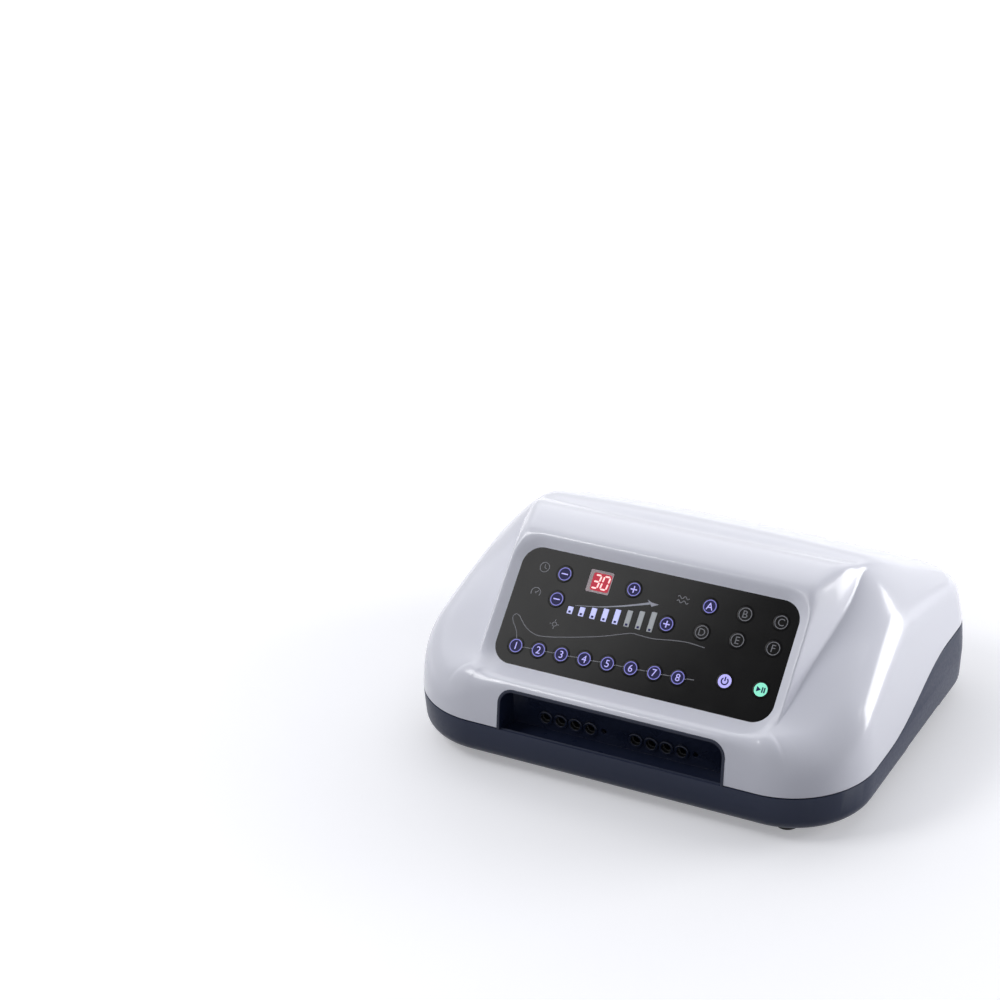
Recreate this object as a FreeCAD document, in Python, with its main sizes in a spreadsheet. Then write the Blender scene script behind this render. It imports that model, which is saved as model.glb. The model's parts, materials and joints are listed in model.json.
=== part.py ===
"""Table-top compression therapy pump, built as an assembly of separate pieces.

Millimetres, +X to the right of somebody facing the key panel, +Y to the rear, +Z up.
The origin is the middle of the footprint, on the surface that the feet stand on.
"""
import FreeCAD, Part
import math
import os

V = FreeCAD.Vector
X_AXIS, Y_AXIS, Z_AXIS = V(1, 0, 0), V(0, 1, 0), V(0, 0, 1)

# ---------------------------------------------------------------- driving dimensions

SIZES = [
    # shell outline, at the seam between the white cover and the dark tray
    ("shell_width", 330, "width over the seam"),
    ("shell_front", 128.3, "seam in front of the origin"),
    ("shell_rear", 128.6, "seam behind the origin"),
    ("front_corner", 59, "corner radius of the seam, front"),
    ("rear_corner", 46, "corner radius of the seam, rear"),
    ("foot_height", 7.8, "underside of the tray above the table"),
    ("seam_low", 35.2, "height of the seam at the front"),
    ("seam_high", 56, "height of the seam at the rear"),
    ("seam_rise_start", -48, "where the seam starts to rise"),
    ("seam_rise_end", 62, "where the seam is level again"),
    ("seam_gap", 0.6, "shadow gap in the seam"),
    ("crest_height", 143, "highest point of the cover"),
    ("tray_draft", 2.4, "the tray is this much smaller at its underside"),
    ("tray_fillet", 10, "rounding round the underside"),
    ("shoulder_fillet", 8, "rounding between the sides and the top"),
    ("cover_wall", 2.8, "wall of the cover"),
    ("tray_wall", 3.0, "wall of the tray"),
    ("lip_height", 2.6, "lip that stands up behind the seam"),
    ("lip_wall", 1.4, "thickness of that lip"),
    ("slip", 0.2, "clearance between pieces that slide together"),
    # key panel
    ("panel_width", 204.4, "width of the key panel"),
    ("panel_length", 84.1, "length of the key panel up the slope"),
    ("panel_corner", 14, "corner radius of the key panel"),
    ("panel_low_y", -99.8, "lower edge of the panel face, Y"),
    ("panel_low_z", 69.3, "lower edge of the panel face, Z"),
    ("panel_tilt", 44.5, "slope of the panel in degrees"),
    ("panel_sheet", 2.0, "thickness of the front sheet"),
    ("panel_ledge", 5.0, "width of the ledge that carries the sheet"),
    ("ledge_wall", 2.4, "thickness of that ledge"),
    ("bezel_rise", 4.5, "height of the frame round the panel"),
    ("bezel_slope", 1.65, "bezel width at the sides for each unit of its height"),
    ("brow_slope", 1.5, "the same above the panel"),
    ("ledge_slope", 1.0, "the same below the panel"),
    ("flank_reach", 17.5, "reach of the panel housing past the panel on top"),
    ("pod_slope", 0.47, "how fast the sides of the panel housing flare"),
    # keys
    ("key_diameter", 12.0, "diameter of a key cap"),
    ("key_travel", 0.5, "travel of a key"),
    ("key_rim", 0.8, "width and thickness of the rim that holds a key in"),
    ("key_slack", 0.1, "gap between that rim and the sheet"),
    ("mode_column", 39.1, "first column of mode keys"),
    ("mode_pitch", 25.5, "pitch of the mode columns"),
    ("upper_row", 69.0, "upper row of keys up the slope"),
    ("middle_row", 50.8, "middle row of keys up the slope"),
    ("lower_row", 22.4, "power and start row up the slope"),
    ("minus_column", -68.7, "column of the two minus keys"),
    ("time_plus_x", -16.7, "plus key of the timer"),
    ("pressure_plus_x", 13.4, "plus key of the pressure"),
    ("chamber_first_x", -86.9, "first chamber key"),
    ("chamber_pitch", 17.05, "pitch of the chamber keys"),
    ("chamber_first_row", 13.2, "first chamber key up the slope"),
    ("chamber_rise", 0.62, "rise from one chamber key to the next"),
    ("window_x", -42.1, "middle of the display window"),
    ("window_row", 68.8, "middle of the display window up the slope"),
    ("window_width", 17.3, "width of the display window"),
    ("window_length", 16.0, "length of the display window"),
    ("bar_first_x", -56.7, "first pressure bar"),
    ("bar_pitch", 8.5, "pitch of the pressure bars"),
    ("bar_width", 4.0, "width of a pressure bar"),
    ("bar_foot", 42.9, "lower ends of the bars up the slope"),
    ("bar_shortest", 5.2, "length of the first bar"),
    ("bar_growth", 1.28, "growth from bar to bar"),
    ("board_depth", 9.0, "face of the key board below the panel face"),
    ("board_sheet", 1.6, "thickness of a circuit board"),
    ("switch_side", 6.2, "side of a tactile switch"),
    ("switch_height", 3.4, "height of its body"),
    ("plunger_radius", 1.7, "radius of its plunger"),
    ("plunger_height", 0.9, "height of its plunger"),
    # hose bay
    ("bay_half_width", 83.2, "half width of the bay insert"),
    ("bay_top", 65.2, "top of the bay insert"),
    ("bay_floor", 30.0, "floor of the bay"),
    ("bay_back", -106.8, "face of the back wall of the bay"),
    ("bay_wall", 1.9, "wall of the bay insert"),
    ("bay_corner", 11, "upper corner radius of the bay insert"),
    ("port_radius", 3.5, "bore of a hose port"),
    ("port_wall", 1.2, "wall of a port ferrule"),
    ("port_height", 38.8, "height of the ports"),
    ("port_pitch", 11.2, "pitch of the ports"),
    ("port_reach", 12, "depth of a port bore behind the bay wall"),
    ("left_ports_x", -56.6, "first port of the left group"),
    ("right_ports_x", 10.6, "first port of the right group"),
    ("key_hole_step", 9.6, "from the last port to the keying hole"),
    ("key_hole_radius", 1.9, "radius of the keying hole"),
    ("barb_radius", 3.0, "radius of a hose barb"),
    ("barb_length", 9, "length of a hose barb"),
    ("hose_wall", 1.4, "wall of an inner hose"),
    ("hose_span", 21, "length of the inner hoses"),
    # feet and fasteners
    ("foot_radius", 8.7, "radius of a rubber foot"),
    ("foot_x", 117.3, "feet to the side"),
    ("foot_y", 102.8, "feet to front and rear"),
    ("screw_radius", 1.5, "shank radius of a case screw"),
    ("head_radius", 2.9, "head radius of a case screw"),
    ("head_height", 2.2, "head height of a case screw"),
    ("pillar_radius", 4.6, "radius of a screw pillar"),
    ("pillar_x", 138, "screw pillars to the side"),
    ("pillar_front", -84, "front screw pillars"),
    ("pillar_rear", 92, "rear screw pillars"),
    ("counterbore", 6.0, "depth of the screw recess in the tray"),
    # hand grips
    ("grip_front", -10, "front end of a hand grip"),
    ("grip_rear", 57, "rear end of a hand grip"),
    ("grip_top", 15.5, "top of a hand grip"),
    ("grip_depth", 13, "depth of a hand grip"),
    # air pump
    ("pump_x", -48, "middle of the air pump, X"),
    ("pump_y", 47, "middle of the air pump, Y"),
    ("pump_length", 126, "length of the pump frame"),
    ("pump_width", 72, "width of the pump frame"),
    ("plate_thickness", 3, "sheet of the pump frame"),
    ("isolator_height", 8.5, "height of a rubber isolator"),
    ("isolator_radius", 6, "radius of a rubber isolator"),
    ("isolator_x", 50, "isolators to the side"),
    ("isolator_y", 27, "isolators to front and rear"),
    ("pump_axis_height", 52, "height of the moving bar"),
    ("end_plate_x", 34, "inner face of an end plate from the middle"),
    ("end_plate_side", 58, "side of an end plate"),
    ("diaphragm_radius", 25, "radius of a diaphragm"),
    ("diaphragm_sheet", 2.4, "thickness of a diaphragm"),
    ("piston_radius", 15, "radius of a piston plate"),
    ("head_depth", 20, "depth of a valve head"),
    ("head_cavity", 9, "depth of the space that a piston works in"),
    ("stroke", 2.0, "travel of the moving bar either way"),
    ("coil_length", 46, "length of a coil"),
    ("coil_width", 19, "width of a coil"),
    ("coil_height", 38, "height of a coil"),
    ("magnet_gap", 1.5, "gap between the moving bar and a coil"),
    ("bar_thickness", 12, "thickness of the moving bar"),
    ("tube_radius", 4.0, "radius of the air tube"),
    ("elbow_wall", 0.6, "an elbow's radius past its tube"),
    ("tube_height", 92, "height of the air tube"),
    # valves
    ("manifold_front", -62, "front face of the manifold"),
    ("manifold_depth", 19, "depth of the manifold"),
    ("manifold_height", 16, "height of the manifold"),
    ("manifold_margin", 8, "manifold past the outer ports"),
    ("valve_width", 10, "width of a solenoid valve"),
    ("valve_height", 27, "height of a solenoid valve"),
    ("valve_depth", 15, "depth of a solenoid valve"),
    # electronics
    ("board_x", 88, "middle of the main board, X"),
    ("board_y", 2, "middle of the main board, Y"),
    ("board_width", 116, "width of the main board"),
    ("board_length", 74, "length of the main board"),
    ("standoff_height", 7, "height of the board standoffs"),
    ("standoff_radius", 3.4, "radius of a standoff"),
    ("board_margin", 5, "standoffs from the edges of the board"),
    ("supply_x", 44, "middle of the power supply, X"),
    ("supply_y", 84, "middle of the power supply, Y"),
    ("supply_width", 48, "width of the power supply"),
    ("supply_length", 44, "length of the power supply"),
    ("supply_height", 38, "height of the power supply"),
    # rear wall
    ("pad_face", 118.5, "inner face of the rear pads"),
    ("fan_x", 96, "middle of the fan"),
    ("fan_height", 34, "height of the middle of the fan"),
    ("fan_side", 40, "side of the fan frame"),
    ("fan_depth", 10, "depth of the fan frame"),
    ("fan_bore", 18.6, "radius of the opening in the fan frame"),
    ("fan_hub", 10, "radius of the fan hub"),
    ("blade_gap", 0.8, "gap between blades and frame"),
    ("blade_count", 7, "blades of the fan"),
    ("vent_width", 3.0, "width of a vent slot"),
    ("vent_pitch", 6.0, "pitch of the vent slots"),
    ("vent_length", 32, "length of a vent slot"),
    ("vent_count", 6, "slots of the rear vent"),
    ("inlet_x", -84, "middle of the mains inlet"),
    ("inlet_height", 35, "height of the middle of the inlet"),
    ("inlet_face", 123.8, "flat face that the inlet sits on"),
    ("inlet_width", 28, "width of the inlet body"),
    ("inlet_length", 31, "height of the inlet body"),
    ("flange_width", 50, "width of the inlet flange"),
    ("flange_sheet", 2.4, "thickness of the inlet flange"),
    ("inlet_depth", 22, "depth of the inlet body"),
    ("inlet_screw_x", 20, "inlet screws to the side"),
]

DOC = FreeCAD.newDocument("compression_pump")
SHEET = DOC.addObject("Spreadsheet::Sheet", "sizes")
for row, (alias, value, note) in enumerate(SIZES, 1):
    SHEET.set(f"A{row}", note)
    SHEET.set(f"B{row}", str(value))
    SHEET.setAlias(f"B{row}", alias)
DOC.recompute()

PARTS = {}


def size(alias):
    """A driving dimension, read from the sheet."""
    return float(SHEET.get(alias))


# ---------------------------------------------------------------- document helpers


def tag(name):
    """A name that FreeCAD takes for an object that is not a finished piece."""
    return f"raw_{name}"


def bind(thing, bindings):
    """Tie properties to expressions, with every word that is a driving dimension looked up in the sheet."""
    for prop, expression in bindings.items():
        thing.setExpression(prop, expand(expression))
    return thing


def expand(expression):
    """Put the sheet's name in front of each driving dimension in an expression."""
    words, word = [], ""
    for sign in str(expression) + " ":
        if sign.isalnum() or sign in "_.":
            word += sign
            continue
        words.append(f"sizes.{word}" if word in ALIASES else word)
        words.append(sign)
        word = ""
    return "".join(words).strip()


ALIASES = {alias for alias, _, _ in SIZES}


def spot(thing, x, y, z):
    """Tie the place of an object to three expressions."""
    return bind(thing, {"Placement.Base.x": x, "Placement.Base.y": y, "Placement.Base.z": z})


def block(name, x, y, z, dx, dy, dz):
    """A box: x and y are its middle, z is its underside."""
    box = DOC.addObject("Part::Box", tag(name))
    bind(box, {"Length": dx, "Width": dy, "Height": dz})
    return spot(box, f"({x}) - ({dx}) / 2", f"({y}) - ({dy}) / 2", z)


def slab(name, x, y, z, dx, dy, dz):
    """A box with x as its middle and y and z as its low corner."""
    return block(name, x, f"({y}) + ({dy}) / 2", z, dx, dy, dz)


TURNS = {
    "x": FreeCAD.Rotation(Y_AXIS, 90),
    "y": FreeCAD.Rotation(X_AXIS, -90),
    "z": FreeCAD.Rotation(),
}


def rod(name, axis, x, y, z, radius, length):
    """A cylinder along one axis, from its low end."""
    thing = DOC.addObject("Part::Cylinder", tag(name))
    thing.Placement = FreeCAD.Placement(V(), TURNS[axis])
    bind(thing, {"Radius": radius, "Height": length})
    return spot(thing, x, y, z)


def fuse(name, pieces):
    """Join pieces, or group them where they do not touch."""
    if len(pieces) == 1:
        return pieces[0]
    thing = DOC.addObject("Part::MultiFuse", tag(name))
    thing.Shapes = pieces
    return thing


def cut(name, base, tools):
    """Take the tools away from the base."""
    thing = DOC.addObject("Part::Cut", tag(name))
    thing.Base = base
    thing.Tool = fuse(f"{name}_tools", tools)
    return thing


def solid(name, shape):
    """A shape that Part's own functions made, as an object of the document."""
    thing = DOC.addObject("Part::Feature", tag(name))
    thing.Shape = shape
    return thing


def piece(node, thing):
    """Name a finished piece."""
    thing.Label = node
    PARTS[node] = thing
    return thing


def on_panel(node, thing):
    """Name a finished piece that was built flat, and lay it on the slope of the key panel.

    On the panel x runs across, y up the slope and z out of the face.
    """
    thing.Placement = panel_placement()
    bind(thing, {"Placement.Rotation.Angle": "panel_tilt"})
    spot(thing, 0, "panel_low_y", "panel_low_z")
    return piece(node, thing)


def panel_placement():
    """The frame of the key panel."""
    rotation = FreeCAD.Rotation(X_AXIS, size("panel_tilt"))
    return FreeCAD.Placement(V(0, size("panel_low_y"), size("panel_low_z")), rotation)


# ---------------------------------------------------------------- shell surfaces


def rounded_outline(level, front, rear, half_front, half_rear, radius_front, radius_rear):
    """A closed outline at one height: a trapezoid with rounded corners."""
    corners = [V(-half_front, front, level), V(half_front, front, level)]
    corners += [V(half_rear, rear, level), V(-half_rear, rear, level)]
    radii = [radius_front, radius_front, radius_rear, radius_rear]
    arcs = []
    for index, corner in enumerate(corners):
        back = (corners[index - 1] - corner).normalize()
        ahead = (corners[(index + 1) % 4] - corner).normalize()
        half_turn = back.getAngle(ahead) / 2
        reach = radii[index] / math.tan(half_turn)
        middle = corner + (back + ahead).normalize() * (radii[index] / math.sin(half_turn) - radii[index])
        arcs.append((corner + back * reach, middle, corner + ahead * reach))
    edges = []
    for index, (start, middle, end) in enumerate(arcs):
        edges.append(Part.Arc(start, middle, end).toShape())
        edges.append(Part.makeLine(end, arcs[(index + 1) % 4][0]))
    return Part.Wire(edges)


def wall_levels(inset):
    """Outlines of the side walls: underside, seam, mid height and past the crest."""
    half, front, rear = size("shell_width") / 2, size("shell_front"), size("shell_rear")
    front_corner, rear_corner, draft = size("front_corner"), size("rear_corner"), size("tray_draft")
    bottom, seam, crest = size("foot_height"), size("seam_low"), size("crest_height")
    span = crest - seam
    rows = [
        (bottom, draft, draft - 0.4, draft, draft, 5, 4),
        (seam, 0, 0, 0, 0, 0, 0),
        (seam + 0.415 * span, 9.3, 4.8, 4.8, 7.4, 5, 12),
        (seam + 0.833 * span, 24.3, 17.2, 14.7, 23, 11, 20),
        (seam + 1.05 * span, 33.5, 26, 20.5, 34, 14, 24),
    ]
    outlines = []
    for level, in_front, in_rear, in_half_front, in_half_rear, less_front, less_rear in rows:
        outline = rounded_outline(
            level, -front + in_front + inset, rear - in_rear - inset,
            half - in_half_front - inset, half - in_half_rear - inset,
            front_corner - less_front - inset, rear_corner - less_rear - inset)
        outlines.append(outline)
    return outlines


def wall_solid(inset=0.0):
    """Everything inside the side walls, drafted below the seam and curved above it."""
    outlines = wall_levels(inset)
    lower = Part.makeLoft(outlines[:2], True, True)
    upper = Part.makeLoft(outlines[1:], True, False)
    return lower.fuse(upper).removeSplitter()


# Stations of the top surface from front to rear: how far along the depth, the height in the
# middle, how far the flat middle reaches past the panel's half width, its edge height, the
# inset of the shoulder from the seam, and the shoulder's height.
STATIONS = [
    (-0.085, 60, 4, 60, 9, 50),
    (0.025, 69.5, 4, 69.5, 13, 60),
    (0.071, 71.5, 5, 71.7, 11.7, 65),
    (0.126, 75, 8, 76.3, 9.7, 71.2),
    (0.193, 85, 11, 86.5, 6.9, 80.8),
    (0.259, 95, 13, 97.2, 6.9, 86.5),
    (0.325, 103, 15, 105.3, 7.8, 92.2),
    (0.384, 117, 17, 113, 8.7, 95.4),
    (0.442, 130, 19, 121.5, 9.6, 97.7),
    (0.501, 140, 20.5, 130.5, 10.5, 99.6),
    (0.556, 141.5, 20, 137, 11.2, 100.4),
    (0.626, 136.5, 19.5, 133, 12.5, 100.6),
    (0.735, 122.5, 21.5, 118.5, 14.6, 98.2),
    (0.852, 105, 24.5, 101.2, 15.8, 92.6),
    (0.938, 92.4, 26, 89.4, 16.5, 86),
    (1.067, 72.6, 26, 70.5, 17, 69),
]
REACH_PAST_SHOULDER = 26


def station_poles(station, lowered):
    """Poles of the top surface across one station, from left to right."""
    along, middle, past_panel, edge, inset, shoulder = station
    y = -size("shell_front") + along * (size("shell_front") + size("shell_rear"))
    scale = size("crest_height") / 143
    half_panel, half = size("panel_width") / 2, size("shell_width") / 2
    foot, outer = half_panel + past_panel, half - inset
    middle, edge, shoulder = middle * scale, edge * scale, shoulder * scale
    fall = (shoulder - edge) / (outer - foot)
    crown = (middle - edge) * 0.15
    right = [
        (foot * 0.5, middle - crown), (foot - 14, edge + crown * 1.4), (foot - 3, edge + crown * 0.4),
        (foot + (outer - foot) / 3, edge + (shoulder - edge) * 0.3),
        (foot + (outer - foot) * 2 / 3, edge + (shoulder - edge) * 0.64),
        (outer, shoulder), (outer + REACH_PAST_SHOULDER, shoulder + fall * REACH_PAST_SHOULDER),
    ]
    poles = [V(-x, y, z - lowered) for x, z in reversed(right)]
    return poles + [V(0, y, middle - lowered)] + [V(x, y, z - lowered) for x, z in right]


def knots(count, degree=3):
    """Knots and multiplicities of a clamped uniform spline."""
    inner = count - degree - 1
    values = [float(index) for index in range(inner + 2)]
    return values, [degree + 1] + [1] * inner + [degree + 1]


def hood_solid(lowered=0.0):
    """Everything under the top surface, which runs through the stations as one smooth sheet."""
    net = [station_poles(station, lowered) for station in STATIONS]
    along, along_times = knots(len(net))
    across, across_times = knots(len(net[0]))
    surface = Part.BSplineSurface()
    surface.buildFromPolesMultsKnots(
        net, along_times, across_times, along, across, False, False, 3, 3)
    return surface.toShape().extrude(V(0, 0, -2 * size("crest_height")))


def deck_profile(inset):
    """Side view of the panel housing: the slope of the bezel, rolled over into the crest."""
    tilt = math.radians(size("panel_tilt"))
    rise = size("bezel_rise") - inset
    slope, normal = V(0, math.cos(tilt), math.sin(tilt)), V(0, -math.sin(tilt), math.cos(tilt))
    foot = V(0, size("panel_low_y"), size("panel_low_z"))
    low = foot - slope * 16 + normal * rise
    bend = foot + slope * (size("panel_length") + 5.5) + normal * rise
    crest = size("crest_height") - inset
    over = [bend, bend + slope * 7.5, V(0, bend.y + 22, crest), V(0, bend.y + 36, crest - 0.6)]
    tail = [V(0, bend.y + 50, crest - 6), V(0, bend.y + 63, crest - 15), V(0, bend.y + 79, crest - 31)]
    roll = Part.BSplineCurve()
    poles = over + tail
    values, times = knots(len(poles))
    roll.buildFromPolesMultsKnots(poles, times, values, False, 3)
    end = tail[-1]
    deep_rear, deep_front = V(0, end.y, 60), V(0, low.y, 45)
    edges = [Part.makeLine(low, bend), roll.toShape(), Part.makeLine(end, deep_rear)]
    edges += [Part.makeLine(deep_rear, deep_front), Part.makeLine(deep_front, low)]
    return Part.Wire(edges)


def pod_solid(inset=0.0):
    """The raised housing of the key panel: its side view, trimmed by two pairs of flared sides."""
    reach = size("shell_width")
    body = Part.Face(deck_profile(inset)).extrude(V(reach, 0, 0))
    body.translate(V(-reach / 2, 0, 0))
    half = size("panel_width") / 2 + size("bezel_rise") * size("bezel_slope") - inset
    top, deep, flare = size("bezel_rise"), -80, size("pod_slope")
    lower = [V(-half - flare * (top - deep), 0, deep), V(half + flare * (top - deep), 0, deep)]
    lower += [V(half - flare * 20, 0, top + 20), V(-half + flare * 20, 0, top + 20)]
    sides = Part.Face(Part.makePolygon(lower + lower[:1])).extrude(V(0, 260, 0))
    sides.translate(V(0, -60, 0))
    sides.Placement = panel_placement().multiply(sides.Placement)
    limit = size("panel_width") / 2 + size("flank_reach") - inset
    core = Part.makeBox(2 * limit, 400, 400, V(-limit, -200, 0))
    return body.common(sides).common(deck_flanks(inset)).common(core)


def deck_flanks(inset):
    """The upper pair of sides, which spread towards the rear and lean inwards."""
    crest, half_panel = size("crest_height"), size("panel_width") / 2
    spread, lean = 0.36, 0.57
    front, rear = size("panel_low_y") - 30, 60
    outlines = []
    for level in (60, crest + 10):
        at = half_panel + 1.6 - inset + lean * (crest - 4 - level)
        half_front, half_rear = at + spread * (front + 35), at + spread * (rear + 35)
        points = [V(-half_front, front, level), V(half_front, front, level)]
        points += [V(half_rear, rear, level), V(-half_rear, rear, level)]
        outlines.append(Part.makePolygon(points + points[:1]))
    return Part.makeLoft(outlines, True, True)


def seam_cutter(offset, below):
    """Everything below, or above, the seam, which rises in an S from front to rear."""
    low, high = size("seam_low") + offset, size("seam_high") + offset
    start, end = size("seam_rise_start"), size("seam_rise_end")
    reach, far = size("shell_width"), 2 * size("shell_rear")
    limit = -20 if below else 2 * size("crest_height")
    rise = Part.BezierCurve()
    third = (end - start) * 0.38
    rise.setPoles([V(0, start, low), V(0, start + third, low), V(0, end - third, high), V(0, end, high)])
    edges = [
        Part.makeLine(V(0, -far, low), V(0, start, low)), rise.toShape(),
        Part.makeLine(V(0, end, high), V(0, far, high)),
        Part.makeLine(V(0, far, high), V(0, far, limit)),
        Part.makeLine(V(0, far, limit), V(0, -far, limit)),
        Part.makeLine(V(0, -far, limit), V(0, -far, low)),
    ]
    cutter = Part.Face(Part.Wire(edges)).extrude(V(reach * 2, 0, 0))
    cutter.translate(V(-reach, 0, 0))
    return cutter


def panel_prism(margin, low, high):
    """A rounded slab over the key panel, grown by a margin all round."""
    half, length = size("panel_width") / 2 + margin, size("panel_length") + margin
    radius = max(size("panel_corner") + margin, 1.0)
    outline = rounded_outline(low, -margin, length, half, half, radius, radius)
    prism = Part.Face(outline).extrude(V(0, 0, high - low))
    prism.Placement = panel_placement()
    return prism


def bezel_recess(grown=0.0):
    """The funnel over the key panel: steep above it, level below it, and wide at its sides."""
    half, length = size("panel_width") / 2 + grown, size("panel_length") + grown
    corner, depth = size("panel_corner") + grown, 3 * size("bezel_rise")
    outlines = [rounded_outline(0, -grown, length, half, half, corner, corner)]
    front, rear = -grown - depth * size("ledge_slope"), length + depth * size("brow_slope")
    wide, radius = half + depth * size("bezel_slope"), corner + depth * size("brow_slope")
    outlines.append(rounded_outline(depth, front, rear, wide, wide, radius, radius))
    funnel = Part.makeLoft(outlines, True, True)
    funnel.Placement = panel_placement()
    return funnel


def bay_block(margin):
    """The block that the hose bay fills, with rounded upper corners, grown by a margin."""
    half, top = size("bay_half_width") + margin, size("bay_top") + margin
    floor, radius = size("bay_floor") - size("bay_wall") - margin, size("bay_corner") + margin
    front, back = -size("shell_front") - 12, size("bay_back") + size("bay_wall")
    body = Part.makeBox(2 * half, back - front, top - floor, V(-half, front, floor))
    upper = [edge for edge in body.Edges
             if abs(edge.CenterOfMass.z - top) < 0.01 and abs(edge.CenterOfMass.x) > half - 0.01]
    return body.makeFillet(radius, upper)


def pillar_spots():
    """Middles of the four screw pillars."""
    return [(side * size("pillar_x"), y) for side in (-1, 1)
            for y in (size("pillar_front"), size("pillar_rear"))]


def foot_spots():
    """Middles of the four feet."""
    return [(side * size("foot_x"), end * size("foot_y")) for side in (-1, 1) for end in (-1, 1)]


def upright(x, y, low, high, radius):
    """A vertical cylinder between two heights."""
    return Part.makeCylinder(radius, high - low, V(x, y, low))


# ---------------------------------------------------------------- shell pieces


def outer_shell():
    """The whole outside of the machine, with rounded shoulders, before it is split at the seam."""
    walls = wall_solid()
    body = walls.common(hood_solid())
    shoulders = [edge for edge in body.Edges if edge.CenterOfMass.z > size("seam_high")]
    shoulders = [edge for edge in shoulders if not is_wall_seam(edge)]
    body = body.makeFillet(size("shoulder_fillet"), shoulders)
    return body.fuse(pod_solid().common(walls))


def is_wall_seam(edge):
    """Whether an edge only divides one wall face from the next."""
    box = edge.BoundBox
    return box.ZLength > 0.8 * (edge.Length + 1e-6) and box.ZLength > 20


def board_post_spots():
    """Posts of the key board, in the panel's frame: on the ledge, left and right, clear of its lip."""
    x = size("panel_width") / 2 - size("panel_ledge") + size("standoff_radius") + 2 * size("slip")
    length = size("panel_length")
    return [(side * x, length * share) for side in (-1, 1) for share in (0.2, 0.5, 0.8)]


def make_top_cover():
    """White cover: a shell with the recessed panel seat, the bay opening, pillars and board posts."""
    wall, sheet, ledge = size("cover_wall"), size("panel_sheet"), size("ledge_wall")
    outer = OUTER.common(seam_cutter(size("seam_gap") / 2, below=False))
    cavity = wall_solid(wall).common(hood_solid(wall * 1.15)).fuse(pod_solid(wall))
    margin = 1.6 * wall
    cavity = cavity.cut(panel_prism(margin, -sheet - ledge, 0.1)).cut(bezel_recess(margin))
    pillars = [upright(x, y, 0, size("crest_height"), size("pillar_radius")) for x, y in pillar_spots()]
    cavity = cavity.cut(Part.makeCompound(pillars))
    body = outer.cut(cavity)
    recess = bezel_recess()
    seat = panel_prism(size("slip") / 2, -sheet, 0.01)
    window = panel_prism(-size("panel_ledge"), -30, 5)
    body = body.cut(recess.fuse(seat)).cut(window)
    body = body.cut(bay_block(size("slip")))
    top = size("seam_low") + 22
    bores = [upright(x, y, 0, top, size("screw_radius") - 0.05) for x, y in pillar_spots()]
    body = body.cut(Part.makeCompound(bores))
    posts = []
    for x, y in board_post_spots():
        low, high = -size("board_depth"), -sheet - ledge
        post = Part.makeCylinder(size("standoff_radius"), high - low, V(x, y, low))
        posts.append(post.cut(Part.makeCylinder(0.9, 5, V(x, y, low))))
    posts = Part.makeCompound(posts)
    posts.Placement = panel_placement()
    return piece("top_cover", solid("top_cover", biggest(body.fuse(posts))))


def biggest(shape):
    """The largest solid of a shape, without the crumbs that cutting can leave."""
    return max(shape.Solids, key=lambda one: one.Volume)


def vent_slots(x, z, depth_low, depth_high):
    """Upright slots of the rear vent."""
    slots = []
    count, pitch, width = int(size("vent_count")), size("vent_pitch"), size("vent_width")
    length = size("vent_length")
    for index in range(count):
        at = x + (index - (count - 1) / 2) * pitch
        body = Part.makeBox(width, depth_high - depth_low, length - width,
                            V(at - width / 2, depth_low, z - (length - width) / 2))
        ends = [Part.makeCylinder(width / 2, depth_high - depth_low, V(at, depth_low, z + end), Y_AXIS)
                for end in (-(length - width) / 2, (length - width) / 2)]
        slots.append(body.fuse(ends))
    return Part.makeCompound(slots)


def grip_block(side, grown):
    """The space of one hand grip, or its housing when grown by a wall."""
    front, rear = size("grip_front") - grown, size("grip_rear") + grown
    top, depth = size("grip_top") + grown, size("grip_depth") + grown
    outer = size("shell_width") / 2 + 10
    inner = size("shell_width") / 2 - size("tray_draft") - depth
    body = Part.makeBox(outer - inner, rear - front, top + 10, V(inner, front, -10))
    edges = [edge for edge in body.Edges
             if abs(edge.CenterOfMass.z - top) < 0.01 and edge.BoundBox.XLength > 1]
    body = body.makeFillet(6 + grown, edges)
    return body if side > 0 else body.mirror(V(), X_AXIS)


def make_base_tray():
    """Dark tray: floor, walls with the seam lip, screw pillars, standoffs, grips and rear openings."""
    wall, gap = size("tray_wall"), size("seam_gap")
    floor = size("foot_height")
    whole = wall_solid()
    under = [edge for edge in whole.Edges if edge.BoundBox.ZMax < floor + 0.01]
    whole = whole.makeFillet(size("tray_fillet"), under)
    body = whole.common(seam_cutter(-gap / 2, below=True))
    cavity = wall_solid(wall).common(Part.makeBox(900, 900, 400, V(-450, -450, floor + wall)))
    cavity = cavity.cut(rear_pads())
    for side in (-1, 1):
        cavity = cavity.cut(grip_block(side, wall))
    posts = [upright(x, y, 0, 300, size("pillar_radius")) for x, y in pillar_spots()]
    foot_posts = [upright(x, y, 0, floor + wall + 5, size("pillar_radius")) for x, y in foot_spots()]
    stands = [upright(x, y, 0, floor + wall + size("standoff_height"), size("standoff_radius"))
              for x, y in standoff_spots()]
    cavity = cavity.cut(Part.makeCompound(posts + foot_posts)).cut(Part.makeCompound(stands))
    body = body.cut(cavity).fuse(seam_lip())
    cuts = [grip_block(side, 0) for side in (-1, 1)]
    shank, head = size("screw_radius") + 0.1, size("head_radius") + 0.3
    cuts += [upright(x, y, 0, 300, shank) for x, y in pillar_spots()]
    cuts += [upright(x, y, 0, floor + size("counterbore"), head) for x, y in pillar_spots()]
    cuts += [upright(x, y, 0, floor + wall + 6, size("screw_radius") - 0.05) for x, y in foot_spots()]
    cuts += [upright(x, y, floor + wall + 0.5, floor + wall + 30, 1.0) for x, y in standoff_spots()]
    for one in cuts:
        body = body.cut(one)
    body = body.cut(rear_openings()).cut(floor_vents())
    return piece("base_tray", solid("base_tray", biggest(body)))


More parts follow.
